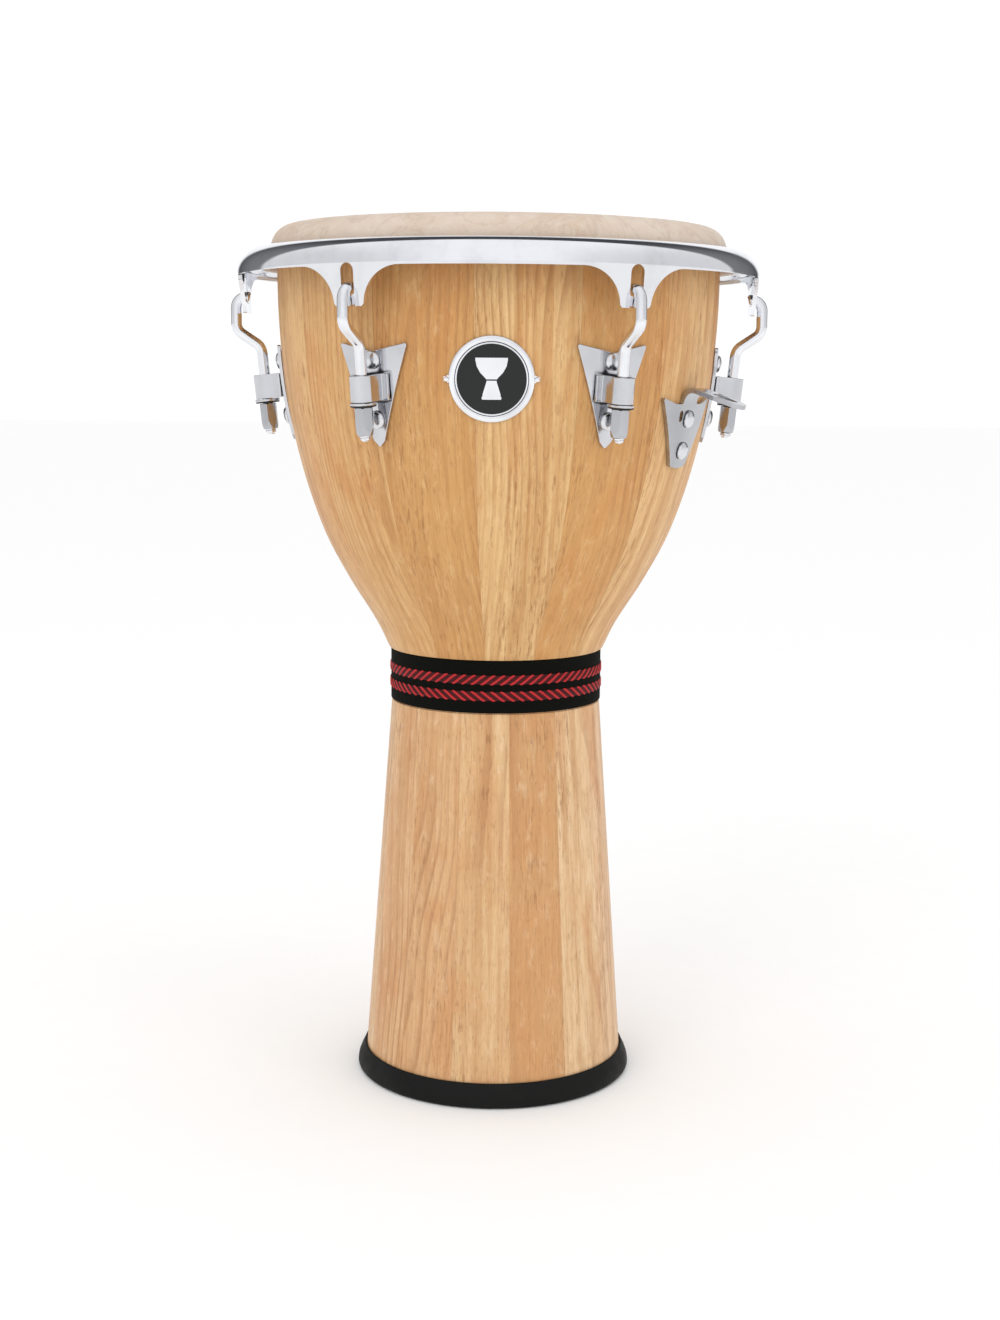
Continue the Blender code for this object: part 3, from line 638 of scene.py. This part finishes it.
BOWL_WOOD = wood("bowl_oak", 0.663, 4.0, light=11, dark=10, least=0.55, tint=(0.99, 1.04, 1.10))
STEM_WOOD = wood("stem_oak", 0.154, 31.0, light=10, dark=11, least=0.0, tint=(1.01, 1.13, 1.50))
CHROME = chrome("chrome")
# The chrome again, darker and a little hazier, for plates, saddles and washers: the darker tone is painted
# shade.
SHADED_CHROME = chrome("shaded_chrome", (0.635, 0.64, 0.67), 0.10)
# The chrome again, darker still and hazier, for the nuts and strap bracket: the darker tone is painted shade.
DEEP_SHADED_CHROME = chrome("steel", (0.49, 0.495, 0.52), 0.16)
ZINC = zinc("zinc")
RUBBER = rubber("rubber")
RAWHIDE = rawhide("rawhide")
RIBBON = ribbon("ribbon")
RED = red_yarn("red_yarn", (0.60, 0.034, 0.036), (0.34, 0.008, 0.012))
# Near-black red for the strip under the stitches: painted shade between them.
STITCH_SHADE_RED = red_yarn("painted_stitch_shade", (0.08, 0.002, 0.004), (0.03, 0.001, 0.0015))
ENAMEL = enamel("enamel")


# ---------------------------------------------------------------- shell


def make_bowl():
    bottom, top = BOWL_OUTLINE[0][0], BOWL_OUTLINE[-1][0]
    steps = 60
    heights = [bottom + (top - bottom) * i / steps for i in range(steps + 1)]
    outside = [(bowl_radius(z), z) for z in heights]
    bearing = edge_round(EDGE_ROUND, 0, 90, 14)
    crest = bearing[-1][1]
    bearing += [(147.9 * MM, crest - 0.5 * MM), (147.75 * MM, crest - 1.6 * MM)]
    inside = [(bowl_radius(z) - WALL, z) for z in heights[-1:9:-2]]
    low = JOINT_HEIGHT + GAP
    neck = [
        (THROAT_RADIUS + 3 * MM, 340 * MM),
        (THROAT_RADIUS, 326 * MM),
        (THROAT_RADIUS, low + SPIGOT_HEIGHT),
        (SPIGOT_RADIUS + GAP, low + SPIGOT_HEIGHT),
        (SPIGOT_RADIUS + GAP, low),
        (NECK_RADIUS, low),
        (NECK_RADIUS, BAND_TOP + GAP),
        (78.3 * MM, BAND_TOP + GAP),
    ]
    mesh = lathe_mesh("bowl_wood", outside + bearing + inside + neck)
    add("bowl_wood", mesh, BOWL_WOOD, node="bowl")


def make_stem():
    top = BAND_BOTTOM - 1 * MM
    steps = 24
    heights = [STEM_FOOT + (top - STEM_FOOT) * i / steps for i in range(steps + 1)]
    outside = [(stem_radius(z), z) for z in heights]
    spigot = [
        (NECK_RADIUS, top + GAP),
        (NECK_RADIUS, JOINT_HEIGHT),
        (SPIGOT_RADIUS, JOINT_HEIGHT),
        (SPIGOT_RADIUS, JOINT_HEIGHT + SPIGOT_HEIGHT),
        (THROAT_RADIUS, JOINT_HEIGHT + SPIGOT_HEIGHT),
    ]
    inside = [(r - WALL, z) for r, z in outside[::-2]]
    add("stem_wood", lathe_mesh("stem_wood", outside + spigot + inside), STEM_WOOD, node="stem")


def make_base_ring():
    """The rubber channel round the foot, with a soft lip and a rounded tread."""
    wood_edge = stem_radius(STEM_FOOT)
    inner = wood_edge - WALL - GAP
    outline = [(inner - 2 * MM, 0), (wood_edge + 2 * MM, 0)]
    outline += arc((wood_edge + 2.6 * MM, 3.2 * MM), 3.2 * MM, -75, 12, 8)
    outline += [
        (wood_edge + 5.3 * MM, 7 * MM),
        (wood_edge + 3.6 * MM, 11.5 * MM),
        (wood_edge + 1.7 * MM, 15.2 * MM),
    ]
    outline += arc((stem_radius(17 * MM) + 1.25 * MM, 16.7 * MM), 0.75 * MM, 20, 160, 6)
    outline += [
        (wood_edge + GAP, STEM_FOOT - GAP),
        (inner, STEM_FOOT - GAP),
        (inner - 0.4 * MM, 10.6 * MM),
        (inner - 1.5 * MM, 11 * MM),
        (inner - 2.9 * MM, 10.4 * MM),
        (inner - 3 * MM, 1 * MM),
    ]
    add("base_ring_rubber", lathe_mesh("base_ring_rubber", outline), RUBBER, node="base_ring")


def make_neck_band():
    """The ribbon and the two raised cords woven into it."""
    inner = NECK_RADIUS + GAP
    outer = inner + BAND_SHEET
    soft = 0.4 * MM
    outline = [(inner, BAND_BOTTOM), (outer - soft, BAND_BOTTOM), (outer, BAND_BOTTOM + soft)]
    count = 12
    for i in range(1, count):
        outline.append((outer, BAND_BOTTOM + (BAND_TOP - BAND_BOTTOM) * i / count))
    outline += [(outer, BAND_TOP - soft), (outer - soft, BAND_TOP), (inner, BAND_TOP)]
    band = add("neck_band_ribbon", lathe_mesh("neck_band_ribbon", outline), RIBBON,
               node="neck_band")
    height = BAND_TOP - BAND_BOTTOM
    cords = []
    for name, share, slant in (("upper", 0.365, 1), ("lower", 0.675, -1)):
        cords += cord_stitches(name, BAND_TOP - share * height, slant, outer)


def cord_stitches(name, centre, slant, radius):
    """One stripe of slanted red stitches over a near-black red strip, which is painted shade between the
    stitches.
    """
    half, edge, proud = 3.05 * MM, 2.65 * MM, 0.25 * MM
    ground = [
        (radius + 0.05 * MM, centre - half),
        (radius + proud, centre - edge),
        (radius + proud, centre + edge),
        (radius + 0.05 * MM, centre + half),
    ]
    # A thin strip under the stitches, coloured as painted shade between them.
    under = add(f"{name}_cord_shade_strip", lathe_mesh(f"{name}_cord_shade_strip", ground), STITCH_SHADE_RED)
    work = bmesh.new()
    count, rings, sides = 70, 9, 8
    reach, lift, girth = 5.2 * MM, 2.75 * MM, 1.45 * MM
    for k in range(count):
        middle = math.tau * k / count
        loops = []
        for i in range(rings):
            t = 2 * i / (rings - 1) - 1
            along = reach * t
            up = slant * lift * math.sin(t * math.pi / 2)
            swell = max(0.16, math.sqrt(max(0, 1 - abs(t) ** 3)))
            loop = []
            for j in range(sides):
                a = math.tau * j / sides
                away = radius + proud + 0.32 * MM * swell * (1 + math.sin(a)) - 0.1 * MM
                z = centre + up + girth * swell * math.cos(a)
                turn = middle + (along + 0.35 * girth * slant * math.cos(a)) / radius
                loop.append(work.verts.new((away * math.cos(turn), away * math.sin(turn), z)))
            loops.append(loop)
        for first, second in zip(loops, loops[1:]):
            for j in range(sides):
                n = (j + 1) % sides
                work.faces.new((first[j], first[n], second[n], second[j]))
        work.faces.new(loops[0][::-1])
        work.faces.new(loops[-1])
    mesh = finished(f"{name}_cord_stitches", work)
    return [under, add(f"{name}_cord_stitches", mesh, RED, sharp=80)]


# ---------------------------------------------------------------- head and rim


def make_skin():
    """The head: flat, rounded over the bearing edge, and lapped round the flesh hoop."""
    lap = HOOP_WIRE + 0.4 * MM
    body = EDGE_ROUND_CENTRE[0]
    rings = 26
    top = [(0, HEAD_TOP)] + [(body * i / rings, HEAD_TOP) for i in range(1, rings)]
    outside = top + edge_round(SKIN_ROUND, 90, 0, 14) + [(163.1 * MM, 603 * MM), (163.6 * MM, 600 * MM)]
    inner_round = [axis - SKIN for axis in SKIN_ROUND]
    inside = [(162.2 * MM, 600 * MM), (161.6 * MM, 603 * MM)]
    inside += edge_round(inner_round, 0, 90, 14) + [(body * i / 6, HEAD_TOP - SKIN) for i in range(5, 0, -1)]
    under = arc(HOOP_CENTRE, lap, 165, 470, 18)
    over = arc(HOOP_CENTRE, lap + SKIN, 470, 165, 18)
    outline = outside + under + over + inside + [(0, HEAD_TOP - SKIN)]

    mesh = lathe_mesh("head_skin_rawhide", outline)
    for v in mesh.vertices:
        if v.co.z > 600 * MM:
            wave = noise.noise(Vector((v.co.x * 22, v.co.y * 22, 3.1)))
            v.co.z -= 0.12 * MM * (1 + wave)
    skin = add("head_skin_rawhide", mesh, RAWHIDE, "head_assembly", "head_skin", sharp=60)


def make_flesh_hoop():
    outline = arc(HOOP_CENTRE, HOOP_WIRE, 0, 345, 23)
    add("flesh_hoop_wire", lathe_mesh("flesh_hoop_wire", outline), ZINC, body="head_assembly",
        node="flesh_hoop")


RIM_INNER = 165 * MM
RIM_CENTRE = (170.1 * MM, 589.3 * MM)
RIM_RADIUS = 16.5 * MM
RIM_SHEET = 3 * MM
SKIRT_BOTTOM = 587.1 * MM
TAB_BOTTOM = 561.3 * MM
TAB_LEAN = 2.8 * MM
TAB_HALF_WIDTH = 11.6 * MM
TAB_FILLET_WIDTH = 27 * MM
HOOK_SLOT = (5 * MM, 567.9 * MM, 588.7 * MM)  # half its width, its bottom and its top
RIM_FLAT = RIM_CENTRE[0] - RIM_INNER
RIM_ARCH = RIM_FLAT + RIM_RADIUS * math.pi / 2


def rim_bend(s, t):
    """Bends (distance round at the skirt, distance out and down from the inner edge) onto the rim's face."""
    centre, middle = RIM_CENTRE
    skirt = centre + RIM_RADIUS
    if t < RIM_FLAT:
        radius, height = RIM_INNER + t, middle + RIM_RADIUS
    elif t < RIM_ARCH:
        a = math.pi / 2 - (t - RIM_FLAT) / RIM_RADIUS
        radius, height = centre + RIM_RADIUS * math.cos(a), middle + RIM_RADIUS * math.sin(a)
    else:
        height = middle - (t - RIM_ARCH)
        radius = skirt - TAB_LEAN * (t - RIM_ARCH) / (middle - TAB_BOTTOM)
    turn = s / skirt
    return Vector((radius * math.cos(turn), radius * math.sin(turn), height))


def make_rim():
    """The rim: a rolled arch whose skirt carries six slotted tabs with swept shoulders."""

    def drop(height):
        return RIM_ARCH + RIM_CENTRE[1] - height

    sector = math.pi / LUGS * (RIM_CENTRE[0] + RIM_RADIUS)
    half_slot, slot_low, slot_high = HOOK_SLOT
    right = [(0, 0), (0, drop(slot_high))]
    crown = arc((0, slot_high - half_slot), half_slot, 90, 0, 8)
    right += [(u, drop(w)) for u, w in crown[1:]]
    heel = ellipse((0, slot_low + 2.2 * MM), (half_slot, 2.2 * MM), 0, -90, 6)
    right += [(u, drop(w)) for u, w in heel]
    toe, corner = drop(TAB_BOTTOM), 1.5 * MM
    right += [(0, toe), (TAB_HALF_WIDTH - corner, toe), (TAB_HALF_WIDTH, toe - corner)]
    steps = 16
    span = SKIRT_BOTTOM - TAB_BOTTOM
    for i in range(2, steps + 1):
        a = math.pi / 2 * i / steps
        side = TAB_HALF_WIDTH + TAB_FILLET_WIDTH * (1 - math.cos(a))
        right.append((side, drop(TAB_BOTTOM + span * math.sin(a))))
    right += [(sector, drop(SKIRT_BOTTOM)), (sector, 0)]
    faces = []
    for k in range(LUGS):
        shift = 2 * sector * k
        faces.append([(s + shift, t) for s, t in right])
        faces.append([(shift - s, t) for s, t in right[::-1]])
    mesh = sliced_mesh("rim_chrome", faces, (3.4 * MM, 1.6 * MM), rim_bend)
    out = Vector((1, 0, 0.4))
    first = max(mesh.polygons, key=lambda f: f.center.x)
    if first.normal.dot(out) < 0:
        mesh.flip_normals()
    rim = add("rim_chrome", mesh, CHROME, body="head_assembly", node="rim")
    modify(rim, "SOLIDIFY", thickness=RIM_SHEET, offset=-1.0, use_even_offset=True)
    round_edges(rim, 0.9 * MM, 3, 50)


# ---------------------------------------------------------------- tuning hardware


def hook_rings():
    """Rings along a hook, from its nose in the rim's slot down to the end of the thread."""
    leg, leg_bottom = 190 * MM, 549.5 * MM
    bend, bend_height, knee_height = 7.5 * MM, 565.4 * MM, 537.5 * MM
    crown = arc((leg - bend, bend_height), bend, 110, 0, 14)
    knee = rod_point((knee_height - BARREL_CENTRE[1]) / math.cos(ROD_TILT))
    pitch = 25.4 * MM / 18
    thread_top, thread_end = 6 * MM, -34.6 * MM
    lower = [crown[-1], (leg, leg_bottom), knee, rod_point(thread_end)]
    bent = rounded_route(lower, 9 * MM, 9)
    route = [Vector(p) for p in crown[:-1]] + bent[:-1]
    smooth = len(route)
    rows = int((thread_top - thread_end) / pitch * 7)
    route += [Vector(rod_point(thread_top + (thread_end - thread_top) * i / rows)) for i in range(rows + 1)]
    rings = []
    last = len(route) - 1
    for i, point in enumerate(route):
        ahead = (route[min(i + 1, last)] - route[max(i - 1, 0)]).normalized()
        across = Vector((ahead.y, 0, -ahead.x))
        full = ROD_RADIUS - 1.5 * MM * max(0, 1 - (last - i) / 9)
        if i == 0:
            full = ROD_RADIUS - 0.9 * MM
        along = thread_top + (thread_end - thread_top) * (i - smooth) / rows
        depth = 0.42 * MM * min(1, max(0, i - smooth) / 10)

        def threaded(a, along=along, depth=depth, full=full):
            turn = (along / pitch + a / math.tau) % 1
            return full - depth * abs(2 * turn - 1)

        rings.append((Vector((point.x, 0, point.y)), across, Vector((0, 1, 0)), threaded))
    return rings


def nut_mesh():
    """A tall hexagon nut: its corners are turned off at both ends, and its lower end tapers."""
    top = -12.1 * MM
    low = top - 18.6 * MM
    flat, bore, taper, lip = 5.65 * MM, 4.35 * MM, 7 * MM, 0.4 * MM
    corner = hexagon(flat, SIXTH / 2)

    def turned(height):
        upper = flat * 0.985 + (top - height) * 1.7
        lower = corner * (0.78 + 0.22 * math.sin(min(1, (height - low) / taper) * math.pi / 2))
        return min(upper, lower)

    def reach(radius, a, height):
        if radius < flat * 0.95:
            return radius
        return min(hexagon(flat, a), turned(height))

    heights = [low + 0.01 * MM] + [low + taper * i / 8 for i in range(1, 9)]
    heights += [low + 7.6 * MM + i * 1.7 * MM for i in range(6)]
    heights += [top - 0.9 * MM + 0.3 * MM * i for i in range(4)]
    outline = [(bore, low), (bore + lip, low)] + [(corner, z) for z in heights]
    outline += [(bore + lip, top), (bore, top - lip)]
    return lathe_mesh("tuning_nut_chrome", outline, 72, reach)


def make_tuners():
    """Hook, saddle, washer and nut at each lug."""
    hook = tube_mesh("tuning_hook_chrome", hook_rings(), 20)
    hook.transform(rod_frame().inverted())
    sheet, outer, half, foot, depth = 2.2 * MM, 8.2 * MM, 8.7 * MM, 13 * MM, 12.4 * MM
    inner = outer - sheet
    right = [(inner, -depth), (foot, -depth), (foot, sheet - depth), (outer + 1 * MM, sheet - depth),
             (outer + 0.3 * MM, sheet - depth + 0.3 * MM), (outer, sheet - depth + 1 * MM)]
    left = [(-u, w) for u, w in right[::-1]]
    outline = right + arc((0, 0), outer, 0, 180, 28) + left + arc((0, 0), inner, 180, 0, 28)
    saddle = prism_mesh("saddle_chrome", outline, -half, half)
    saddle.transform(Matrix.Rotation(-math.pi / 2, 4, "Z"))

    def washer_mesh(name, wide, low, top, soft, bore=4.6 * MM):
        return lathe_mesh(name, [(bore, low), (wide - soft, low), (wide, low + soft),
                                 (wide, top - soft), (wide - soft, top), (bore, top)], 48)

    washer = washer_mesh("washer_steel", 9 * MM, -10.7 * MM, -9.0 * MM, 0.35 * MM)
    fibre = washer_mesh("washer_fibre", 8.6 * MM, -11.8 * MM, -10.75 * MM, 0.2 * MM)
    nut = nut_mesh()
    for k, lug in enumerate(lug_frames(), 1):
        at = lug @ rod_frame()
        add(f"tuning_hook_chrome_{k}", hook, CHROME, f"hook_{k}", f"tuning_hook_{k}", at, 50)
        made = add(f"saddle_chrome_{k}", saddle, SHADED_CHROME, "drum", f"saddle_{k}", at)
        round_edges(made, 0.5 * MM, 2, 50)
        add(f"washer_chrome_{k}", washer, SHADED_CHROME, "drum", f"washer_{k}", at)
        add(f"washer_fibre_{k}", fibre, ENAMEL, "drum", None, at)
        add(f"tuning_nut_chrome_{k}", nut, DEEP_SHADED_CHROME, f"nut_{k}", f"tuning_nut_{k}", at, 25)


# ---------------------------------------------------------------- plates and bolts


def add_sheet(name, mesh, thickness, soft, paint, node, angle):
    """Adds a bent sheet, thickened inwards from its outer face, with softened edges."""
    if min(mesh.polygons, key=lambda f: f.center.z).normal.x < 0:
        mesh.flip_normals()
    piece = add(name, mesh, paint, "drum", node, Matrix.Rotation(angle, 4, "Z"))
    modify(piece, "SOLIDIFY", thickness=thickness, offset=-1.0, use_even_offset=True)
    round_edges(piece, soft, 2, 50)


def softened(corners, fillet, steps=4):
    """A closed outline with each corner rounded."""
    count = len(corners)
    outline = []
    for i in range(count):
        three = [corners[i - 1], corners[i], corners[(i + 1) % count]]
        outline += [tuple(p) for p in rounded_route(three, fillet, steps)[1:-1]]
    return outline


def make_side_plates():
    right = [(26.5 * MM, 539 * MM), (4.3 * MM, 474.7 * MM)]
    corners = [(0, 533.2 * MM)] + right + [(0, 470.2 * MM)] + [(-s, z) for s, z in right[::-1]]
    outline = softened(corners, 1.3 * MM)
    for k in range(LUGS):
        name = f"side_plate_chrome_{k + 1}"
        mesh = sliced_mesh(name, [outline], (3.5 * MM, 5 * MM), on_bowl(GAP + PLATE))
        add_sheet(name, mesh, PLATE, 0.45 * MM, SHADED_CHROME, f"side_plate_{k + 1}", math.tau * k / LUGS)


def bolt_meshes(sheet):
    """A dome-headed bolt with its washer and nut inside the bowl."""
    seat = sheet + 0.6 * MM
    radius, height = 6.2 * MM, 3.2 * MM
    edge = 0.5 * MM
    dome = ellipse((0, seat + edge), (radius, height - edge), 0, 80, 8) + [(0, seat + height)]
    tail = -WALL - 9.3 * MM
    shank = 2.9 * MM
    bolt = [(0, tail), (shank - edge, tail), (shank, tail + edge), (shank, seat), (radius, seat)] + dome
    face = -WALL - 1.5 * MM
    hole, back = shank + 0.2 * MM, face - 1.2 * MM
    washer = [(hole, face), (7 * MM, face), (7 * MM, back), (hole, back)]
    flat = 5 * MM
    top, low = face - 1.4 * MM, face - 6.2 * MM

    def reach(r, a, z):
        if r < flat * 0.95:
            return r
        return min(hexagon(flat, a), flat * 0.99 + 1.7 * min(top - z, z - low))

    bore, soft = shank + 0.1 * MM, 0.45 * MM
    nut = [(bore, low)] + [(6 * MM, z) for z in (low, low + soft, top - soft, top)] + [(bore, top)]
    return (lathe_mesh("bolt_zinc", bolt, 36), lathe_mesh("bolt_washer_zinc", washer, 36),
            lathe_mesh("bolt_nut_zinc", nut, 48, reach))


def make_bolts():
    meshes = {sheet: bolt_meshes(sheet) for sheet in (PLATE, BRACKET)}
    frames = [(lug @ surface_frame(0, z), PLATE) for lug in lug_frames() for z in PLATE_BOLTS]
    frames += [(surface_frame(BRACKET_ANGLE, z), BRACKET) for z in BRACKET_BOLTS]
    for k, (at, sheet) in enumerate(frames, 1):
        bolt, washer, nut = meshes[sheet]
        add(f"bolt_zinc_{k}", bolt, ZINC, "drum", f"bolt_{k}", at, 50)
        add(f"bolt_washer_zinc_{k}", washer, ZINC, "drum", None, at)
        add(f"bolt_nut_zinc_{k}", nut, ZINC, "drum", None, at, 25)


def make_strap_bracket():
    """The bolted plate and its bent-out flange with an oblong slot, pressed from one sheet."""
    top, lower = 508 * MM, 457 * MM
    bend_radius = 8.5 * MM
    drop = math.radians(18.4)
    plate_top = top - bend_radius
    face = bowl_radius(plate_top) + GAP + BRACKET
    turn = math.pi / 2 - drop
    arc_length = bend_radius * turn
    reach = (195 * MM - face - bend_radius * (1 - math.cos(turn))) / math.cos(drop)
    base = on_bowl(GAP + BRACKET)

    def bend(s, t):
        if t <= plate_top or abs(s) > 13 * MM:
            return base(s, t)
        away = t - plate_top
        if away < arc_length:
            a = away / bend_radius
            radius = face + bend_radius * (1 - math.cos(a))
            height = plate_top + bend_radius * math.sin(a)
        else:
            flat = away - arc_length
            radius = face + bend_radius * (1 - math.cos(turn)) + flat * math.cos(drop)
            height = plate_top + bend_radius * math.sin(turn) - flat * math.sin(drop)
        blend = min(1, away / (2 * arc_length))
        curved = Vector((radius * math.cos(s / face), radius * math.sin(s / face), height))
        straight = Vector((radius, s, height))
        return curved.lerp(straight, blend)

    half_root, tip_radius = 10 * MM, 9 * MM
    end = plate_top + arc_length + reach
    middle = plate_top + arc_length + reach * 0.56
    tip = arc((0, end - tip_radius), tip_radius, 20, 90, 8)
    slot_half, slot_long = 5 * MM, 9 * MM
    slot_top = arc((0, middle + slot_long - slot_half), slot_half, 90, 0, 8)
    slot_low = arc((0, middle - slot_long + slot_half), slot_half, 0, -90, 8)
    seam = 10.5 * MM
    foot = [(0, lower - 1.5 * MM), (9.5 * MM, lower - 0.3 * MM), (seam, lower + 0.6 * MM)]
    wing = [(11 * MM, lower + 1 * MM), (33.2 * MM, top - 5.8 * MM), (32.6 * MM, top - 4.3 * MM),
            (18.6 * MM, top - 8.2 * MM), (half_root + 2.6 * MM, top - 8.4 * MM), (seam, top - 7.9 * MM)]
    tongue = [(half_root, top - 6.6 * MM), (10.2 * MM, middle - 4 * MM)] + tip + slot_top + slot_low
    hole_half, hole_rise, hole_height = 2.1 * MM, 1.7 * MM, 491.5 * MM
    hole = arc((seam, hole_height - hole_rise), hole_half, 270, 360, 6)
    hole += arc((seam, hole_height + hole_rise), hole_half, 0, 90, 6)
    hole_in = [(2 * seam - s, t) for s, t in hole]
    left = [foot + hole_in + [wing[-1]] + tongue, [foot[-1]] + wing + hole[::-1]]
    faces = [foot + wing + tongue] + [[(-s, t) for s, t in part[::-1]] for part in left]
    mesh = sliced_mesh("strap_bracket_chrome", faces, (2.5 * MM, 1.5 * MM), bend)
    add_sheet("strap_bracket_chrome", mesh, BRACKET, 0.5 * MM, DEEP_SHADED_CHROME, "strap_bracket", BRACKET_ANGLE)


# ---------------------------------------------------------------- badge


def add_badge_piece(name, mesh, paint, node=None, sharp=35):
    """Adds a flat mesh, x aside, y up and z out, bent onto the bowl at the badge's place."""
    for v in mesh.vertices:
        height = BADGE_HEIGHT + v.co.y
        radius = bowl_radius(height)
        turn = BADGE_ANGLE + v.co.x / radius
        away = radius + v.co.z
        v.co = Vector((away * math.cos(turn), away * math.sin(turn), height))
    add(name, mesh, paint, node=node, sharp=sharp)


def make_badge():
    """A chromed ring round a black enamel disc with a plain goblet motif, held by two pins."""
    wide, face = 24 * MM, 1.1 * MM
    disc = [(0, GAP), (wide, GAP)] + [(wide * i / 10, face) for i in range(10, -1, -1)]
    add_badge_piece("badge_disc", lathe_mesh("badge_disc", disc, 96), ENAMEL, "badge", 40)

    def ring(name, centre, half, low, high):
        crown = [(centre + half * math.cos(a), low + (high - low) * max(0, math.sin(a)) ** 0.7)
                 for a in [math.pi * i / 12 for i in range(13)]]
        outline = [(centre - half, GAP), (centre + half, GAP)] + crown[1:-1]
        add_badge_piece(name, lathe_mesh(name, outline, 96), CHROME, sharp=50)

    ring("badge_outer_ring", 26 * MM, 2 * MM, 0.9 * MM, 1.95 * MM)
    ring("badge_inner_ring", 23.1 * MM, 0.62 * MM, 0.9 * MM, 1.65 * MM)

    goblet = [(0, -13.2), (6.1, -13.2), (6.4, -12), (5.2, -8), (3.2, -1.6), (3.6, 0.2), (7.4, 4.2),
              (9.6, 8.2), (10.4, 12.2), (10.4, 13.6), (0, 13.6)]
    right = [(x * MM, y * MM) for x, y in goblet]
    outline = right + [(-x, y) for x, y in right[-2:0:-1]]
    motif = prism_mesh("badge_motif", outline, 1.12 * MM, 1.5 * MM)
    add_badge_piece("badge_motif", motif, CHROME)
    for k, (x, y) in enumerate(((11.2, 9.6), (4.6, -0.6), (7.0, -10.9)), 1):
        corners = ((-x, y - 0.45), (x, y - 0.45), (x, y + 0.45), (-x, y + 0.45))
        mesh = prism_mesh(f"badge_stripe_{k}", [(u * MM, v * MM) for u, v in corners], 1.3 * MM, 1.53 * MM)
        add_badge_piece(f"badge_stripe_{k}", mesh, ENAMEL)

    upper = [(27.4, 1.2), (28.0, 2.6), (29.6, 1.7), (31.2, 1.5)]
    ears = upper[1:] + [(x, -y) for x, y in upper[::-1]] + upper[:1]
    for k, side in enumerate((-1, 1), 1):
        outline = [(side * x * MM, y * MM) for x, y in (ears if side > 0 else ears[::-1])]
        ear = prism_mesh(f"badge_ear_{k}", outline, GAP, 1.5 * MM)
        add_badge_piece(f"badge_ear_{k}", ear, CHROME)
        profile = ((0, -7), (0.9, -6.6), (0.9, 1.2), (1.75, 1.6), (1.75, 1.9), (1.3, 2.5), (0, 2.75))
        pin = lathe_mesh("badge_pin_chrome", [(r * MM, z * MM) for r, z in profile], 24)
        at = surface_frame(BADGE_ANGLE, BADGE_HEIGHT, side * 29.3 * MM)
        add(f"badge_pin_chrome_{k}", pin, CHROME, "drum", f"badge_pin_{k}", at)


# ---------------------------------------------------------------- studio


def make_camera():
    """The chosen viewpoint: 1.4 m away, half a metre up, pitched 8 degrees down."""
    data = bpy.data.cameras.new("camera")
    data.lens = 51.8
    data.sensor_width = 36
    camera = bpy.data.objects.new("camera", data)
    bpy.context.scene.collection.objects.link(camera)
    orbit = math.radians(1.5)
    place = Matrix.Rotation(orbit, 4, "Z") @ Vector((0, -1.395, 0.517))
    turn = Matrix.Rotation(orbit - math.radians(0.127), 4, "Z")
    pitch = Matrix.Rotation(math.radians(90 - 8.47), 4, "X")
    roll = Matrix.Rotation(math.radians(0.433), 4, "Z")
    camera.matrix_world = Matrix.Translation(place) @ turn @ pitch @ roll
    bpy.context.scene.camera = camera


def make_floor():
    work = bmesh.new()
    bmesh.ops.create_grid(work, x_segments=2, y_segments=2, size=20)
    floor = bpy.data.objects.new("floor", finished("floor", work))
    floor.data.materials.append(floor_paper("floor_paper"))
    bpy.context.scene.collection.objects.link(floor)
    floor.location.z = -0.2 * MM


def softbox(name, place, size, power, aim=(0, 0, 0.35), colour=(1, 1, 1)):
    light = bpy.data.lights.new(name, "AREA")
    light.shape = "RECTANGLE"
    light.size, light.size_y = size
    light.energy = power
    light.color = colour
    made = bpy.data.objects.new(name, light)
    made.location = place
    made.visible_glossy = False
    made.rotation_euler = (Vector(aim) - Vector(place)).to_track_quat("-Z", "Y").to_euler()
    bpy.context.scene.collection.objects.link(made)


def make_lights():
    """Two softboxes in a white tent. Shiny metal also sees the dark room over the low back wall."""
    softbox("key", (-1.1, -2.1, 1.9), (1.3, 1.6), 10)
    softbox("fill", (1.9, -1.4, 1.1), (1.0, 1.6), 5)
    world = bpy.data.worlds.new("studio")
    bpy.context.scene.world = world
    p = Paint(world)
    x, y, z = p.split(p.nodes.new("ShaderNodeTexCoord").outputs["Generated"])
    aside = p.math("ABSOLUTE", x)
    tent = p.fit(p.math("MULTIPLY_ADD", z, 0.23, y), 0.565, 0.495)
    wall = p.fit(p.math("MULTIPLY_ADD", z, 0.35, y), 0.93, 0.985)
    lit = p.math("MAXIMUM", tent, wall)
    shade = p.fit(aside, 0.25, 1.0, 1.0, 0.72)
    dark = p.mix(p.fit(aside, 0.3, 0.85), (0.06, 0.061, 0.068), (0.26, 0.262, 0.275))
    room = p.mix(lit, dark, (0.98, 0.985, 1.0))
    room = p.mix(shade, (0.0, 0.0, 0.0), room)
    seen = p.nodes.new("ShaderNodeLightPath").outputs
    p.put(p.nodes["Background"].inputs["Color"], p.mix(seen["Is Glossy Ray"], (1, 1, 1), room))
    p.nodes["Background"].inputs["Strength"].default_value = 1.05
    bpy.context.scene.view_settings.view_transform = "Standard"


make_camera()
make_floor()
make_lights()
make_bowl()
make_stem()
make_base_ring()
make_neck_band()
make_skin()
make_flesh_hoop()
make_rim()
make_tuners()
make_side_plates()
make_bolts()
make_strap_bracket()
make_badge()

bpy.context.view_layer.update()
